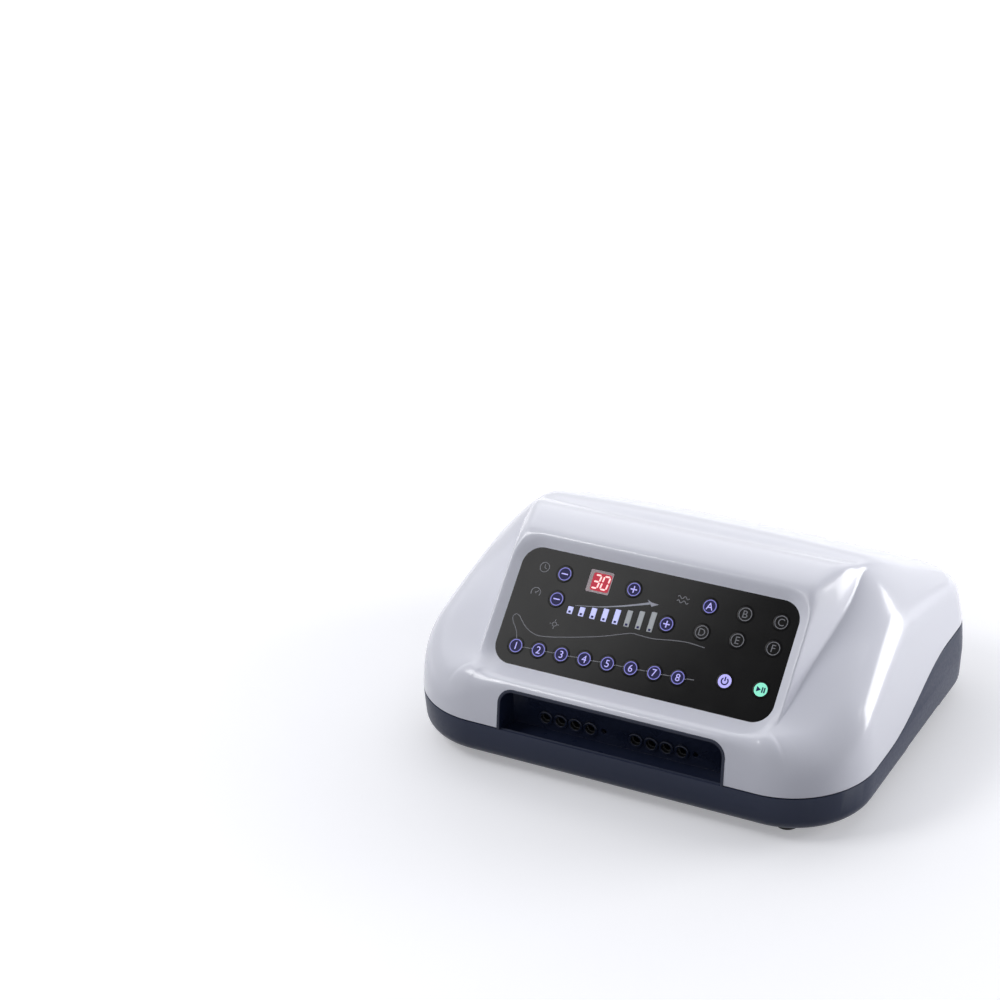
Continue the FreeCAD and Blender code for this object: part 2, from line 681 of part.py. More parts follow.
def seam_lip():
    """The lip behind the seam, which the cover drops over."""
    cover, wall, slip = size("cover_wall"), size("lip_wall"), size("slip")
    ring = wall_solid(cover + slip).cut(wall_solid(cover + slip + wall))
    ring = ring.common(seam_cutter(size("lip_height"), below=True))
    ring = ring.common(seam_cutter(-4, below=False))
    pads = Part.makeBox(2 * size("bay_half_width") + 4, 60, 60,
                        V(-size("bay_half_width") - 2, -size("shell_front") - 2, 20))
    return ring.cut(pads)


def rear_pads():
    """Flat-faced pads inside the rear wall, which the fan and the inlet sit on."""
    face, rear = size("pad_face"), size("shell_rear")
    fan, inlet = size("fan_side") + 4, size("flange_width") + 4
    pads = Part.makeBox(fan, rear - face, fan, V(size("fan_x") - fan / 2, face, size("fan_height") - fan / 2))
    height = size("inlet_length") + 10
    return pads.fuse(Part.makeBox(inlet, rear - face, height,
                                  V(size("inlet_x") - inlet / 2, face, size("inlet_height") - height / 2)))


def rear_openings():
    """Vent slots, the flat recess of the inlet, its cut-out and the screw holes beside it."""
    rear, face = size("shell_rear"), size("inlet_face")
    x, z = size("inlet_x"), size("inlet_height")
    width, length = size("flange_width") + 1, size("inlet_length") + 5
    cuts = vent_slots(size("fan_x"), size("fan_height"), size("pad_face") - 5, rear + 10)
    pocket = Part.makeBox(width, 30, length, V(x - width / 2, face, z - length / 2))
    slip = size("slip")
    hole_width, hole_length = size("inlet_width") + 2 * slip, size("inlet_length") + 2 * slip
    hole = Part.makeBox(hole_width, 60, hole_length, V(x - hole_width / 2, 80, z - hole_length / 2))
    screws = [Part.makeCylinder(1.2, 40, V(x + side * size("inlet_screw_x"), 95, z), Y_AXIS)
              for side in (-1, 1)]
    fan_holes = [Part.makeCylinder(1.2, 6, V(fx, size("pad_face") - 1, fz), Y_AXIS)
                 for fx, fz in fan_screw_spots()]
    return Part.makeCompound([cuts, pocket, hole] + screws + fan_holes)


def fan_screw_spots():
    """Corners of the fan that its screws go through."""
    step = size("fan_side") / 2 - 4
    return [(size("fan_x") + a * step, size("fan_height") + b * step) for a in (-1, 1) for b in (-1, 1)]


def floor_vents():
    """Air slots in the floor below the air pump."""
    slots = []
    for index in range(7):
        at = size("pump_x") + (index - 3) * 2 * size("vent_pitch")
        slots.append(Part.makeBox(size("vent_width"), 26, 30, V(at, size("pump_y") - 13, -5)))
    return Part.makeCompound(slots)


def standoff_spots():
    """Middles of the main board's standoffs."""
    half_x = size("board_width") / 2 - size("board_margin")
    half_y = size("board_length") / 2 - size("board_margin")
    return [(size("board_x") + a * half_x, size("board_y") + b * half_y) for a in (-1, 1) for b in (-1, 1)]


def port_spots(first):
    """Middles of the four ports of one group."""
    return [first + index * size("port_pitch") for index in range(4)]


def key_hole_spot(first):
    """Middle of the keying hole of one group."""
    return first + 3 * size("port_pitch") + size("key_hole_step")


def make_socket_bay():
    """Dark insert of the hose bay: an open box whose front edge stands just proud of the cover."""
    wall = size("bay_wall")
    outer = bay_block(0).common(wall_solid(-0.4))
    half, back = size("bay_half_width") - wall, size("bay_back")
    floor, top = size("bay_floor"), size("bay_top") - wall
    inner = Part.makeBox(2 * half, 60, top - floor, V(-half, back - 60, floor))
    upper = [edge for edge in inner.Edges
             if abs(edge.CenterOfMass.z - top) < 0.01 and abs(edge.CenterOfMass.x) > half - 0.01]
    inner = inner.makeFillet(size("bay_corner") - wall, upper)
    drop = size("seam_low") - (size("bay_floor") - wall)
    leaned = size("tray_draft") * drop / (size("seam_low") - size("foot_height"))
    front_wall = size("shell_front") - size("tray_wall") - leaned - size("slip")
    below = Part.makeBox(400, 40, size("seam_low") - 10, V(-200, -front_wall - 40, 10))
    body = outer.cut(inner).cut(below)
    holes, depth = [], wall + 4
    ferrule = size("port_radius") + size("port_wall") + size("slip")
    for first in (size("left_ports_x"), size("right_ports_x")):
        holes += [Part.makeCylinder(ferrule, depth, V(x, back - 2, size("port_height")), Y_AXIS)
                  for x in port_spots(first)]
        holes.append(Part.makeCylinder(size("key_hole_radius"), depth,
                                       V(key_hole_spot(first), back - 2, size("port_height")), Y_AXIS))
    return piece("socket_bay", solid("socket_bay", biggest(body.cut(Part.makeCompound(holes)))))


# ---------------------------------------------------------------- hose sockets and valves


def make_hose_socket(node, first):
    """Four ferrules that poke through the bay wall, bored for the hose plugs, with barbs behind."""
    low_x, high_x = f"({first}) - 7", f"({first}) + 3 * port_pitch + key_hole_step + 5"
    behind = "bay_back + bay_wall"
    width = f"({high_x}) - ({low_x})"
    middle = f"(({high_x}) + ({low_x})) / 2"
    stock = [slab(f"{node}_block", middle, behind, "port_height - 8", width, "port_reach + 3", 16)]
    bores = []
    for index in range(4):
        x = f"{first} + {index} * port_pitch"
        stock.append(rod(f"{node}_ferrule{index}", "y", x, "bay_back - 1.2", "port_height",
                         "port_radius + port_wall", "bay_wall + 4"))
        stock.append(rod(f"{node}_barb{index}", "y", x, f"{behind} + port_reach + 2", "port_height",
                         "barb_radius", "barb_length + 1"))
        bores.append(rod(f"{node}_bore{index}", "y", x, "bay_back - 3", "port_height",
                         "port_radius", "port_reach + bay_wall + 3"))
        bores.append(rod(f"{node}_duct{index}", "y", x, "bay_back - 3", "port_height",
                         "barb_radius - 1.2", "port_reach + bay_wall + barb_length + 12"))
    bores.append(rod(f"{node}_key", "y", f"{first} + 3 * port_pitch + key_hole_step", "bay_back - 3",
                     "port_height", "key_hole_radius", "bay_wall + 10"))
    return piece(node, cut(node, fuse(f"{node}_stock", stock), bores))


SOCKET_REAR = "bay_back + bay_wall + port_reach + 3"


def make_valve_manifold():
    """Air block behind the sockets: one outlet barb per chamber hose, on two feet."""
    left, right = "left_ports_x - manifold_margin", "right_ports_x + 3 * port_pitch + manifold_margin"
    width, middle = f"({right}) - ({left})", f"(({right}) + ({left})) / 2"
    underside = "port_height - manifold_height / 2"
    floor = "foot_height + tray_wall"
    stock = [slab("manifold_block", middle, "manifold_front", underside, width, "manifold_depth",
                  "manifold_height")]
    for side, x in (("left", f"{left} + 5"), ("right", f"{right} - 5")):
        stock.append(slab(f"manifold_foot_{side}", x, "manifold_front", floor, 10, "manifold_depth",
                          f"{underside} - ({floor})"))
    bores = [rod("manifold_gallery", "x", f"{left} + 4", "manifold_front + manifold_depth - 6",
                 "port_height", 3, f"{width} - 8")]
    for group, first in (("left", "left_ports_x"), ("right", "right_ports_x")):
        for index in range(4):
            x = f"{first} + {index} * port_pitch"
            stock.append(rod(f"outlet_{group}{index}", "y", x, "manifold_front - barb_length",
                             "port_height", "barb_radius", "barb_length + 1"))
            bores.append(rod(f"outlet_duct_{group}{index}", "y", x, "manifold_front - barb_length - 1",
                             "port_height", "barb_radius - 1.2", "barb_length + 8"))
    inlet = rod("manifold_inlet", "y", "pump_x", "manifold_front + manifold_depth - 1",
                "port_height", "barb_radius", "barb_length")
    return piece("valve_manifold", cut("valve_manifold", fuse("manifold_stock", stock + [inlet]), bores))


def make_solenoid_valves():
    """One solenoid valve per chamber hose, standing on the manifold."""
    valves = []
    top = "port_height + manifold_height / 2"
    y = "manifold_front + manifold_depth / 2"
    for group, first in (("left", "left_ports_x"), ("right", "right_ports_x")):
        for index in range(4):
            x = f"{first} + {index} * port_pitch"
            coil = block(f"valve_{group}{index}", x, y, top, "valve_width", "valve_depth", "valve_height")
            cap = rod(f"valve_cap_{group}{index}", "z", x, y, f"{top} + valve_height", 3.2, 2.5)
            valves.append(fuse(f"valve_body_{group}{index}", [coil, cap]))
    return piece("solenoid_valves", fuse("solenoid_valves", valves))


def make_valve_hoses():
    """Short hoses from the manifold to the sockets, pushed over the barbs."""
    hoses = []
    start = f"({SOCKET_REAR} + manifold_front - hose_span) / 2"
    for group, first in (("left", "left_ports_x"), ("right", "right_ports_x")):
        for index in range(4):
            x = f"{first} + {index} * port_pitch"
            skin = rod(f"hose_{group}{index}", "y", x, start, "port_height",
                       "barb_radius + hose_wall", "hose_span")
            bore = rod(f"hose_bore_{group}{index}", "y", x, f"{start} - 1", "port_height",
                       "barb_radius + 0.05", "hose_span + 2")
            hoses.append(cut(f"hose_cut_{group}{index}", skin, [bore]))
    return piece("valve_hoses", fuse("valve_hoses", hoses))


def make_pressure_sensor():
    """Pressure sensor on the end of the manifold."""
    x = "right_ports_x + 3 * port_pitch + manifold_margin - 3"
    y = "manifold_front + manifold_depth - 9"
    top = "port_height + manifold_height / 2"
    body = block("sensor_body", f"{x} + 9.5", y, top, 12, 10, 9)
    tab = block("sensor_tab", f"{x} + 4", y, top, 6, 6, 4)
    nose = rod("sensor_nose", "z", f"{x} + 9.5", y, f"{top} + 8", 1.8, 7)
    return piece("pressure_sensor", fuse("pressure_sensor", [body, tab, nose]))


# ---------------------------------------------------------------- air pump

PUMP_FLOOR = "foot_height + tray_wall + isolator_height"
SIDES = (("left", -1), ("right", 1))


def make_pump_isolators():
    """Rubber isolators between the tray and the pump frame."""
    items = []
    for side, a in SIDES:
        for end, b in (("front", -1), ("rear", 1)):
            items.append(rod(f"isolator_{side}_{end}", "z", f"pump_x + {a} * isolator_x",
                             f"pump_y + {b} * isolator_y", "foot_height + tray_wall",
                             "isolator_radius", "isolator_height"))
    return piece("pump_isolators", fuse("pump_isolators", items))


def make_pump_frame():
    """Pump frame: a base plate and two end plates, each with the opening of a diaphragm."""
    stock = [block("frame_plate", "pump_x", "pump_y", PUMP_FLOOR, "pump_length", "pump_width",
                   "plate_thickness")]
    holes = []
    height = f"pump_axis_height + end_plate_side / 2 - ({PUMP_FLOOR})"
    for side, a in SIDES:
        x = f"pump_x + {a} * (end_plate_x + plate_thickness / 2)"
        stock.append(block(f"end_plate_{side}", x, "pump_y", PUMP_FLOOR, "plate_thickness",
                           "end_plate_side", height))
        holes.append(rod(f"end_hole_{side}", "x", f"{x} - 5", "pump_y", "pump_axis_height",
                         "piston_radius + 3", 10))
    return piece("pump_frame", cut("pump_frame", fuse("frame_stock", stock), holes))


def make_pump_coils():
    """Two wound coils, one each side of the moving bar."""
    coils = []
    for end, b in (("front", -1), ("rear", 1)):
        y = f"pump_y + {b} * (bar_thickness / 2 + magnet_gap + coil_width / 2)"
        low = "pump_axis_height - coil_height / 2"
        coil = block(f"coil_{end}", "pump_x", y, low, "coil_length", "coil_width", "coil_height")
        leg = block(f"coil_leg_{end}", "pump_x", y, f"{PUMP_FLOOR} + plate_thickness", 30, "coil_width - 6",
                    f"{low} - ({PUMP_FLOOR}) - plate_thickness")
        coils.append(fuse(f"coil_set_{end}", [coil, leg]))
    return piece("pump_coils", fuse("pump_coils", coils))


def make_pump_armature():
    """Moving bar with its magnets, and a piston plate at each end."""
    rest = [block("bar", "pump_x", "pump_y", "pump_axis_height - 9", "coil_length + 3 * stroke",
                  "bar_thickness", 18)]
    rest.append(rod("bar_rod", "x", "pump_x - end_plate_x - 5", "pump_y", "pump_axis_height", 4,
                    "2 * end_plate_x + 10"))
    for side, a in SIDES:
        x = f"pump_x + {a} * (end_plate_x + plate_thickness + diaphragm_sheet / 2) - 2"
        rest.append(rod(f"piston_{side}", "x", x, "pump_y", "pump_axis_height", "piston_radius", 4))
    return piece("pump_armature", fuse("pump_armature", rest))


def make_pump_diaphragms():
    """Rubber rings that hold the piston plates, clamped under the heads."""
    rings = []
    for side, a in SIDES:
        x = f"pump_x + {a} * (end_plate_x + plate_thickness + diaphragm_sheet / 2) - diaphragm_sheet / 2"
        disc = rod(f"diaphragm_{side}", "x", x, "pump_y", "pump_axis_height", "diaphragm_radius",
                   "diaphragm_sheet")
        hole = rod(f"diaphragm_hole_{side}", "x", f"{x} - 1", "pump_y", "pump_axis_height",
                   "piston_radius + 0.4", "diaphragm_sheet + 2")
        rings.append(cut(f"diaphragm_ring_{side}", disc, [hole]))
    return piece("pump_diaphragms", fuse("pump_diaphragms", rings))


HEAD_FACE = "(end_plate_x + plate_thickness + diaphragm_sheet)"


def make_pump_heads():
    """Valve heads over the diaphragms, each with an outlet nipple on top."""
    heads = []
    for side, a in SIDES:
        x = f"pump_x + {a} * ({HEAD_FACE} + head_depth / 2)"
        body = rod(f"head_{side}", "x", f"{x} - head_depth / 2", "pump_y", "pump_axis_height",
                   "diaphragm_radius + 2", "head_depth")
        nipple = rod(f"nipple_{side}", "z", x, "pump_y", "pump_axis_height + diaphragm_radius",
                     "barb_radius", 9)
        hollow = rod(f"hollow_{side}", "x",
                     f"pump_x + {a} * ({HEAD_FACE} + head_cavity / 2) - head_cavity / 2",
                     "pump_y", "pump_axis_height", "piston_radius + 4", "head_cavity")
        heads.append(cut(f"head_cut_{side}", fuse(f"head_stock_{side}", [body, nipple]), [hollow]))
    return piece("pump_heads", fuse("pump_heads", heads))


def make_pump_outlet_tube():
    """Air tube that joins both heads and runs forward and down to the manifold."""
    low = "pump_axis_height + diaphragm_radius + 3"
    reach = f"({HEAD_FACE} + head_depth / 2)"
    runs = []
    for side, a in SIDES:
        x = f"pump_x + {a} * {reach}"
        runs.append(rod(f"riser_{side}", "z", x, "pump_y", low, "tube_radius", f"tube_height - ({low})"))
    runs.append(rod("cross_tube", "x", f"pump_x - {reach}", "pump_y", "tube_height", "tube_radius",
                    f"2 * {reach}"))
    front = "manifold_front + manifold_depth + barb_length - 1"
    runs.append(rod("forward_tube", "y", "pump_x", front, "tube_height", "tube_radius",
                    f"pump_y - ({front})"))
    runs.append(rod("drop_tube", "z", "pump_x", front, "port_height", "tube_radius",
                    "tube_height - port_height"))
    runs.append(rod("entry_tube", "y", "pump_x", "manifold_front + manifold_depth + 1", "port_height",
                    "tube_radius", "barb_length - 2"))
    joints = [(f"pump_x - {reach}", "pump_y", "tube_height"), (f"pump_x + {reach}", "pump_y", "tube_height")]
    joints += [("pump_x", front, "tube_height"), ("pump_x", front, "port_height")]
    joints.append(("pump_x", "pump_y", "tube_height"))
    for index, (x, y, z) in enumerate(joints):
        ball = DOC.addObject("Part::Sphere", tag(f"elbow{index}"))
        bind(ball, {"Radius": "tube_radius + elbow_wall"})
        runs.append(spot(ball, x, y, z))
    bores = []
    for side, a in SIDES:
        bores.append(rod(f"riser_bore_{side}", "z", f"pump_x + {a} * {reach}", "pump_y", f"{low} - 1",
                         "barb_radius + 0.05", 8))
    bores.append(rod("entry_bore", "y", "pump_x", "manifold_front + manifold_depth", "port_height",
                     "barb_radius + 0.05", "barb_length"))
    return piece("pump_outlet_tube", cut("pump_outlet_tube", fuse("tube_runs", runs), bores))


def make_intake_filter():
    """Round felt filter of the air intake, standing on the tray."""
    floor = "foot_height + tray_wall"
    x, y = "pump_x", "pump_y + pump_width / 2 + 18"
    can = rod("filter_can", "z", x, y, floor, 12, 20)
    neck = rod("filter_neck", "z", x, y, f"{floor} + 20", 4, 8)
    return piece("intake_filter", fuse("intake_filter", [can, neck]))


# ---------------------------------------------------------------- electronics and rear wall

BOARD_TOP = "foot_height + tray_wall + standoff_height + board_sheet"


def make_main_board():
    """Main circuit board on its standoffs."""
    board = block("board", "board_x", "board_y", "foot_height + tray_wall + standoff_height",
                  "board_width", "board_length", "board_sheet")
    holes = []
    for a in (-1, 1):
        for b in (-1, 1):
            holes.append(rod(f"board_hole_{a + 1}{b + 1}", "z",
                             f"board_x + {a} * (board_width / 2 - board_margin)",
                             f"board_y + {b} * (board_length / 2 - board_margin)",
                             "foot_height + tray_wall", 1.6, "standoff_height + 10"))
    return piece("main_board", cut("main_board", board, holes))


# Parts on the main board: offset across and along from its middle, and size.
BOARD_BLOCKS = [
    ("relay", -38, 18, 16, 12, 15), ("driver", -12, 20, 20, 8, 6), ("processor", -6, -8, 14, 14, 2),
    ("cooler", 30, 20, 24, 14, 22), ("key_socket", -26, -28, 24, 7, 8), ("valve_socket", 8, -28, 32, 7, 8),
]
BOARD_CANS = [("can_one", -30, -2, 6, 16), ("can_two", 16, 4, 5, 13), ("can_three", 42, -12, 8, 24)]


def make_board_components():
    """Relay, drivers, cooler, sockets and capacitors on the main board."""
    items = []
    for name, x, y, dx, dy, dz in BOARD_BLOCKS:
        items.append(block(name, f"board_x + {x}", f"board_y + {y}", BOARD_TOP, dx, dy, dz))
    for name, x, y, radius, height in BOARD_CANS:
        items.append(rod(name, "z", f"board_x + {x}", f"board_y + {y}", BOARD_TOP, radius, height))
    return piece("board_components", fuse("board_components", items))


def screw(name, axis, x, y, z, reach, up):
    """A screw whose head's seat is at a point, with its shank running along an axis."""
    places = {"x": x, "y": y, "z": z}
    head_at, shank_at = dict(places), dict(places)
    if up:
        head_at[axis] = f"({places[axis]}) - head_height"
    else:
        shank_at[axis] = f"({places[axis]}) - {reach}"
    head = rod(f"{name}_head", axis, head_at["x"], head_at["y"], head_at["z"], "head_radius", "head_height")
    shank = rod(f"{name}_shank", axis, shank_at["x"], shank_at["y"], shank_at["z"], "screw_radius - 0.1",
                reach)
    return fuse(name, [head, shank])


def make_board_screws():
    """Screws of the main board."""
    items = []
    for a in (-1, 1):
        for b in (-1, 1):
            x = f"board_x + {a} * (board_width / 2 - board_margin)"
            y = f"board_y + {b} * (board_length / 2 - board_margin)"
            name = f"board_screw_{a + 1}{b + 1}"
            head = rod(f"{name}_head", "z", x, y, BOARD_TOP, 2.7, 1.9)
            shank = rod(f"{name}_shank", "z", x, y, f"{BOARD_TOP} - 6.5", 0.95, 7)
            items.append(fuse(name, [head, shank]))
    return piece("board_screws", fuse("board_screws", items))


def make_power_supply():
    """Power supply in a folded metal cage."""
    floor = "foot_height + tray_wall"
    cage = block("supply_cage", "supply_x", "supply_y", floor, "supply_width", "supply_length",
                 "supply_height")
    slots = []
    for index in range(4):
        slots.append(block(f"supply_slot{index}", f"supply_x + {(index - 1.5) * 8}", "supply_y",
                           f"{floor} + supply_height - 1.5", 3, "supply_length - 14", 5))
    return piece("power_supply", cut("power_supply", cage, slots))


def make_fan_frame():
    """Square frame of the cooling fan, with its stator post on three spokes."""
    front = "pad_face - fan_depth"
    stock = block("fan_stock", "fan_x", "pad_face - fan_depth / 2", "fan_height - fan_side / 2",
                  "fan_side", "fan_depth", "fan_side")
    bore = [rod("fan_opening", "y", "fan_x", f"{front} - 1", "fan_height", "fan_bore", "fan_depth + 2")]
    for a in (-1, 1):
        for b in (-1, 1):
            bore.append(rod(f"fan_hole_{a + 1}{b + 1}", "y", f"fan_x + {a} * (fan_side / 2 - 4)",
                            f"{front} - 1", f"fan_height + {b} * (fan_side / 2 - 4)", 1.7,
                            "fan_depth + 2"))
    frame = cut("fan_ring", stock, bore)
    disc = rod("fan_stator", "y", "fan_x", front, "fan_height", "fan_hub - 1", 1.6)
    post = rod("fan_post", "y", "fan_x", front, "fan_height", 1.4, "fan_depth - 2.5")
    spokes = [block("fan_spoke_up", "fan_x", f"{front} + 0.8", "fan_height", 3, 1.6, "fan_bore + 0.8")]
    spokes.append(block("fan_spoke_down", "fan_x", f"{front} + 0.8", "fan_height - fan_bore - 0.8", 3, 1.6,
                        "fan_bore + 0.8"))
    spokes.append(block("fan_spoke_side", "fan_x", f"{front} + 0.8", "fan_height - 1.5",
                        "2 * fan_bore + 1.6", 1.6, 3))
    return piece("fan_frame", fuse("fan_frame", [frame, disc, post] + spokes))


def make_fan_rotor():
    """Hub with twisted blades, which turns on the stator's post."""
    hub, tip = size("fan_hub"), size("fan_bore") - size("blade_gap")
    depth = size("fan_depth") - 3.4
    shapes = [Part.makeCylinder(hub, depth, V(), Z_AXIS)]
    count = int(size("blade_count"))
    for index in range(count):
        blade = Part.makeBox(tip - hub + 1.5, 1.2, depth * 1.05, V(hub - 1.5, -0.6, -depth * 0.525))
        blade.rotate(V(), X_AXIS, 38)
        blade.translate(V(0, 0, depth / 2))
        blade.rotate(V(), Z_AXIS, index * 360 / count)
        shapes.append(blade)
    rotor = shapes[0].fuse(shapes[1:])
    rotor = rotor.common(Part.makeCylinder(tip, depth, V(), Z_AXIS))
    bore = Part.makeCylinder(1.5, depth - 1, V(0, 0, -0.1), Z_AXIS)
    pocket = Part.makeCylinder(hub - 1.5, depth - 3, V(0, 0, -0.1), Z_AXIS)
    sleeve = Part.makeCylinder(3, depth, V(), Z_AXIS).cut(bore)
    rotor = rotor.cut(pocket).fuse(sleeve.common(Part.makeCylinder(hub, depth, V(), Z_AXIS)))
    rotor = rotor.cut(bore)
    thing = solid("fan_rotor", rotor)
    thing.Placement = FreeCAD.Placement(V(), TURNS["y"])
    spot(thing, "fan_x", "pad_face - fan_depth + 2.2", "fan_height")
    return piece("fan_rotor", thing)


def make_fan_screws():
    """Screws that hold the fan to its pad."""
    items = []
    for a in (-1, 1):
        for b in (-1, 1):
            x, z = f"fan_x + {a} * (fan_side / 2 - 4)", f"fan_height + {b} * (fan_side / 2 - 4)"
            name = f"fan_screw_{a + 1}{b + 1}"
            head = rod(f"{name}_head", "y", x, "pad_face - fan_depth - 1.8", z, 2.8, 1.8)
            shank = rod(f"{name}_shank", "y", x, "pad_face - fan_depth - 0.5", z, 1.15, "fan_depth + 4.5")
            items.append(fuse(name, [head, shank]))
    return piece("fan_screws", fuse("fan_screws", items))


def make_mains_inlet():
    """Flanged mains inlet: a shrouded socket above the pocket of its fuse drawer."""
    x, z = "inlet_x", "inlet_height"
    flange = block("inlet_flange", x, "inlet_face + flange_sheet / 2", f"{z} - inlet_length / 2 - 2",
                   "flange_width", "flange_sheet", "inlet_length + 4")
    body = block("inlet_body", x, "inlet_face - inlet_depth / 2 + 0.5", f"{z} - inlet_length / 2",
                 "inlet_width", "inlet_depth + 1", "inlet_length")
    front = "inlet_face + flange_sheet"
    cuts = [block("inlet_shroud", x, f"{front} - 8", f"{z} - 5", 24, 17, 16.5)]
    cuts.append(block("drawer_pocket", x, f"{front} - 8", f"{z} - 14", 23, 17, 7))
    for side, a in SIDES:
        cuts.append(rod(f"inlet_hole_{side}", "y", f"{x} + {a} * inlet_screw_x", "inlet_face - 1", z, 1.7,
                        "flange_sheet + 2"))
    return piece("mains_inlet", cut("mains_inlet", fuse("inlet_stock", [flange, body]), cuts))


def make_inlet_pins():
    """Three flat pins in the shroud."""
    pins = []
    for index, (dx, dz) in enumerate(((-7, 1), (7, 1), (0, 6))):
        pins.append(block(f"pin{index}", f"inlet_x + {dx}", "inlet_face + flange_sheet - 9",
                          f"inlet_height + {dz} - 2", 2, 15, 4))
    return piece("inlet_pins", fuse("inlet_pins", pins))


# How far behind the flange's face each fuse lies.
FUSE_ROWS = (4.6, 11.0)


def make_fuse_drawer():
    """Drawer that holds the two mains fuses, with a finger lip."""
    front = "inlet_face + flange_sheet"
    drawer = block("drawer", "inlet_x", f"{front} - 7.8", "inlet_height - 13.8", 22.6, 15.6, 6.6)
    lip = block("drawer_lip", "inlet_x", f"{front} + 0.6", "inlet_height - 12", 10, 1.4, 2)
    pockets = [block(f"fuse_pocket{index}", "inlet_x", f"{front} - {FUSE_ROWS[index]}",
                     "inlet_height - 12.8", 20.6, 5.6, 7) for index in range(2)]
    return piece("fuse_drawer", cut("fuse_drawer", fuse("drawer_stock", [drawer, lip]), pockets))


def make_mains_fuses():
    """Two glass fuses that lie in the drawer."""
    fuses = [rod(f"fuse{index}", "x", "inlet_x - 10", f"inlet_face + flange_sheet - {FUSE_ROWS[index]}",
                 "inlet_height - 10.2", 2.6, 20) for index in range(2)]
    return piece("mains_fuses", fuse("mains_fuses", fuses))


def make_inlet_screws():
    """Two screws that hold the inlet."""
    items = []
    for side, a in SIDES:
        x = f"inlet_x + {a} * inlet_screw_x"
        head = rod(f"inlet_screw_head_{side}", "y", x, "inlet_face + flange_sheet", "inlet_height", 2.9, 1.6)
        shank = rod(f"inlet_screw_shank_{side}", "y", x, "inlet_face - 8", "inlet_height", 1.15,
                    "flange_sheet + 8.5")
        items.append(fuse(f"inlet_screw_{side}", [head, shank]))
    return piece("inlet_screws", fuse("inlet_screws", items))


# ---------------------------------------------------------------- feet and case screws


def make_rubber_feet():
    """Four rubber feet, hollow for the heads of their screws."""
    feet = []
    for index, (a, b) in enumerate(((-1, -1), (1, -1), (-1, 1), (1, 1))):
        x, y = f"{a} * foot_x", f"{b} * foot_y"
        body = DOC.addObject("Part::Cone", tag(f"foot{index}"))
        bind(body, {"Radius1": "foot_radius - 0.8", "Radius2": "foot_radius", "Height": "foot_height"})
        spot(body, x, y, 0)
        recess = rod(f"foot_recess{index}", "z", x, y, -1, "head_radius + 0.6", "foot_height - 2")
        hole = rod(f"foot_hole{index}", "z", x, y, -1, "screw_radius + 0.1", "foot_height + 2")
        feet.append(cut(f"foot_cut{index}", body, [recess, hole]))
    return piece("rubber_feet", fuse("rubber_feet", feet))


def make_foot_screws():
    """Screws that hold the feet."""
    items = [screw(f"foot_screw{index}", "z", f"{a} * foot_x", f"{b} * foot_y", "foot_height - 3", 11, True)
             for index, (a, b) in enumerate(((-1, -1), (1, -1), (-1, 1), (1, 1)))]
    return piece("foot_screws", fuse("foot_screws", items))


def make_cover_screws():
    """Long screws from under the tray into the pillars of the cover."""
    items = []
    for side, a in SIDES:
        for end in ("pillar_front", "pillar_rear"):
            reach = "seam_low - foot_height + 8"
            if end == "pillar_rear":
                reach = "seam_high - foot_height - counterbore"
            items.append(screw(f"cover_screw_{side}_{end}", "z", f"{a} * pillar_x", end,
                               "foot_height + counterbore", reach, True))
    return piece("cover_screws", fuse("cover_screws", items))


# ---------------------------------------------------------------- key panel


def key_layout():
    """Name and place of every key on the panel, as expressions."""
    keys = [
        ("key_time_minus", "minus_column", "upper_row"), ("key_time_plus", "time_plus_x", "upper_row"),
        ("key_pressure_minus", "minus_column", "middle_row"),
        ("key_pressure_plus", "pressure_plus_x", "middle_row"),
        ("key_power", "mode_column + mode_pitch", "lower_row"),
        ("key_start_pause", "mode_column + 2 * mode_pitch", "lower_row"),
    ]
    for index, letter in enumerate("abcdef"):
        row = "upper_row" if index < 3 else "middle_row"
        keys.append((f"key_mode_{letter}", f"mode_column + {index % 3} * mode_pitch", row))
    for index in range(8):
        keys.append((f"key_chamber_{index + 1}", f"chamber_first_x + {index} * chamber_pitch",
                     f"chamber_first_row + {index} * chamber_rise"))
    return keys


def make_control_panel():
    """Black front sheet with a hole for each key, the display window and the pressure bars."""
    sheet = solid("sheet", panel_sheet_shape())
    holes = []
    for node, x, y in key_layout():
        holes.append(rod(f"{node}_hole", "z", x, y, "-panel_sheet - 1", "key_diameter / 2 + slip",
                         "panel_sheet + 2"))
    holes.append(block("window_hole", "window_x", "window_row", "-panel_sheet - 1", "window_width + 0.1",
                       "window_length + 0.1", "panel_sheet + 2"))
    for index in range(8):
        length = f"bar_shortest + {index} * bar_growth"
        holes.append(block(f"bar_hole{index}", f"bar_first_x + {index} * bar_pitch",
                           f"bar_foot + ({length}) / 2", "-panel_sheet - 1", "bar_width + 0.1",
                           f"{length} + 0.1", "panel_sheet + 2"))
    return on_panel("control_panel", cut("control_panel", sheet, holes))


def panel_sheet_shape():
    """The front sheet before its holes are cut, lying flat."""
    half, length, corner = size("panel_width") / 2, size("panel_length"), size("panel_corner")
    outline = rounded_outline(-size("panel_sheet"), 0, length, half, half, corner, corner)
    return Part.Face(outline).extrude(V(0, 0, size("panel_sheet")))


def make_key(node, x, y):
    """One key: a round cap with a rim behind the sheet and a short stem above its switch."""
    switch_top = "-board_depth + switch_height + plunger_height + key_travel + 0.1"
    rim_low = "-panel_sheet - key_slack - key_rim"
    cap = rod(f"{node}_cap", "z", x, y, rim_low, "key_diameter / 2", f"-({rim_low})")
    rim = rod(f"{node}_rim", "z", x, y, rim_low, "key_diameter / 2 + key_rim", "key_rim")
    stem = rod(f"{node}_stem", "z", x, y, switch_top, 2, f"{rim_low} - ({switch_top}) + 0.5")
    return on_panel(node, fuse(node, [cap, rim, stem]))


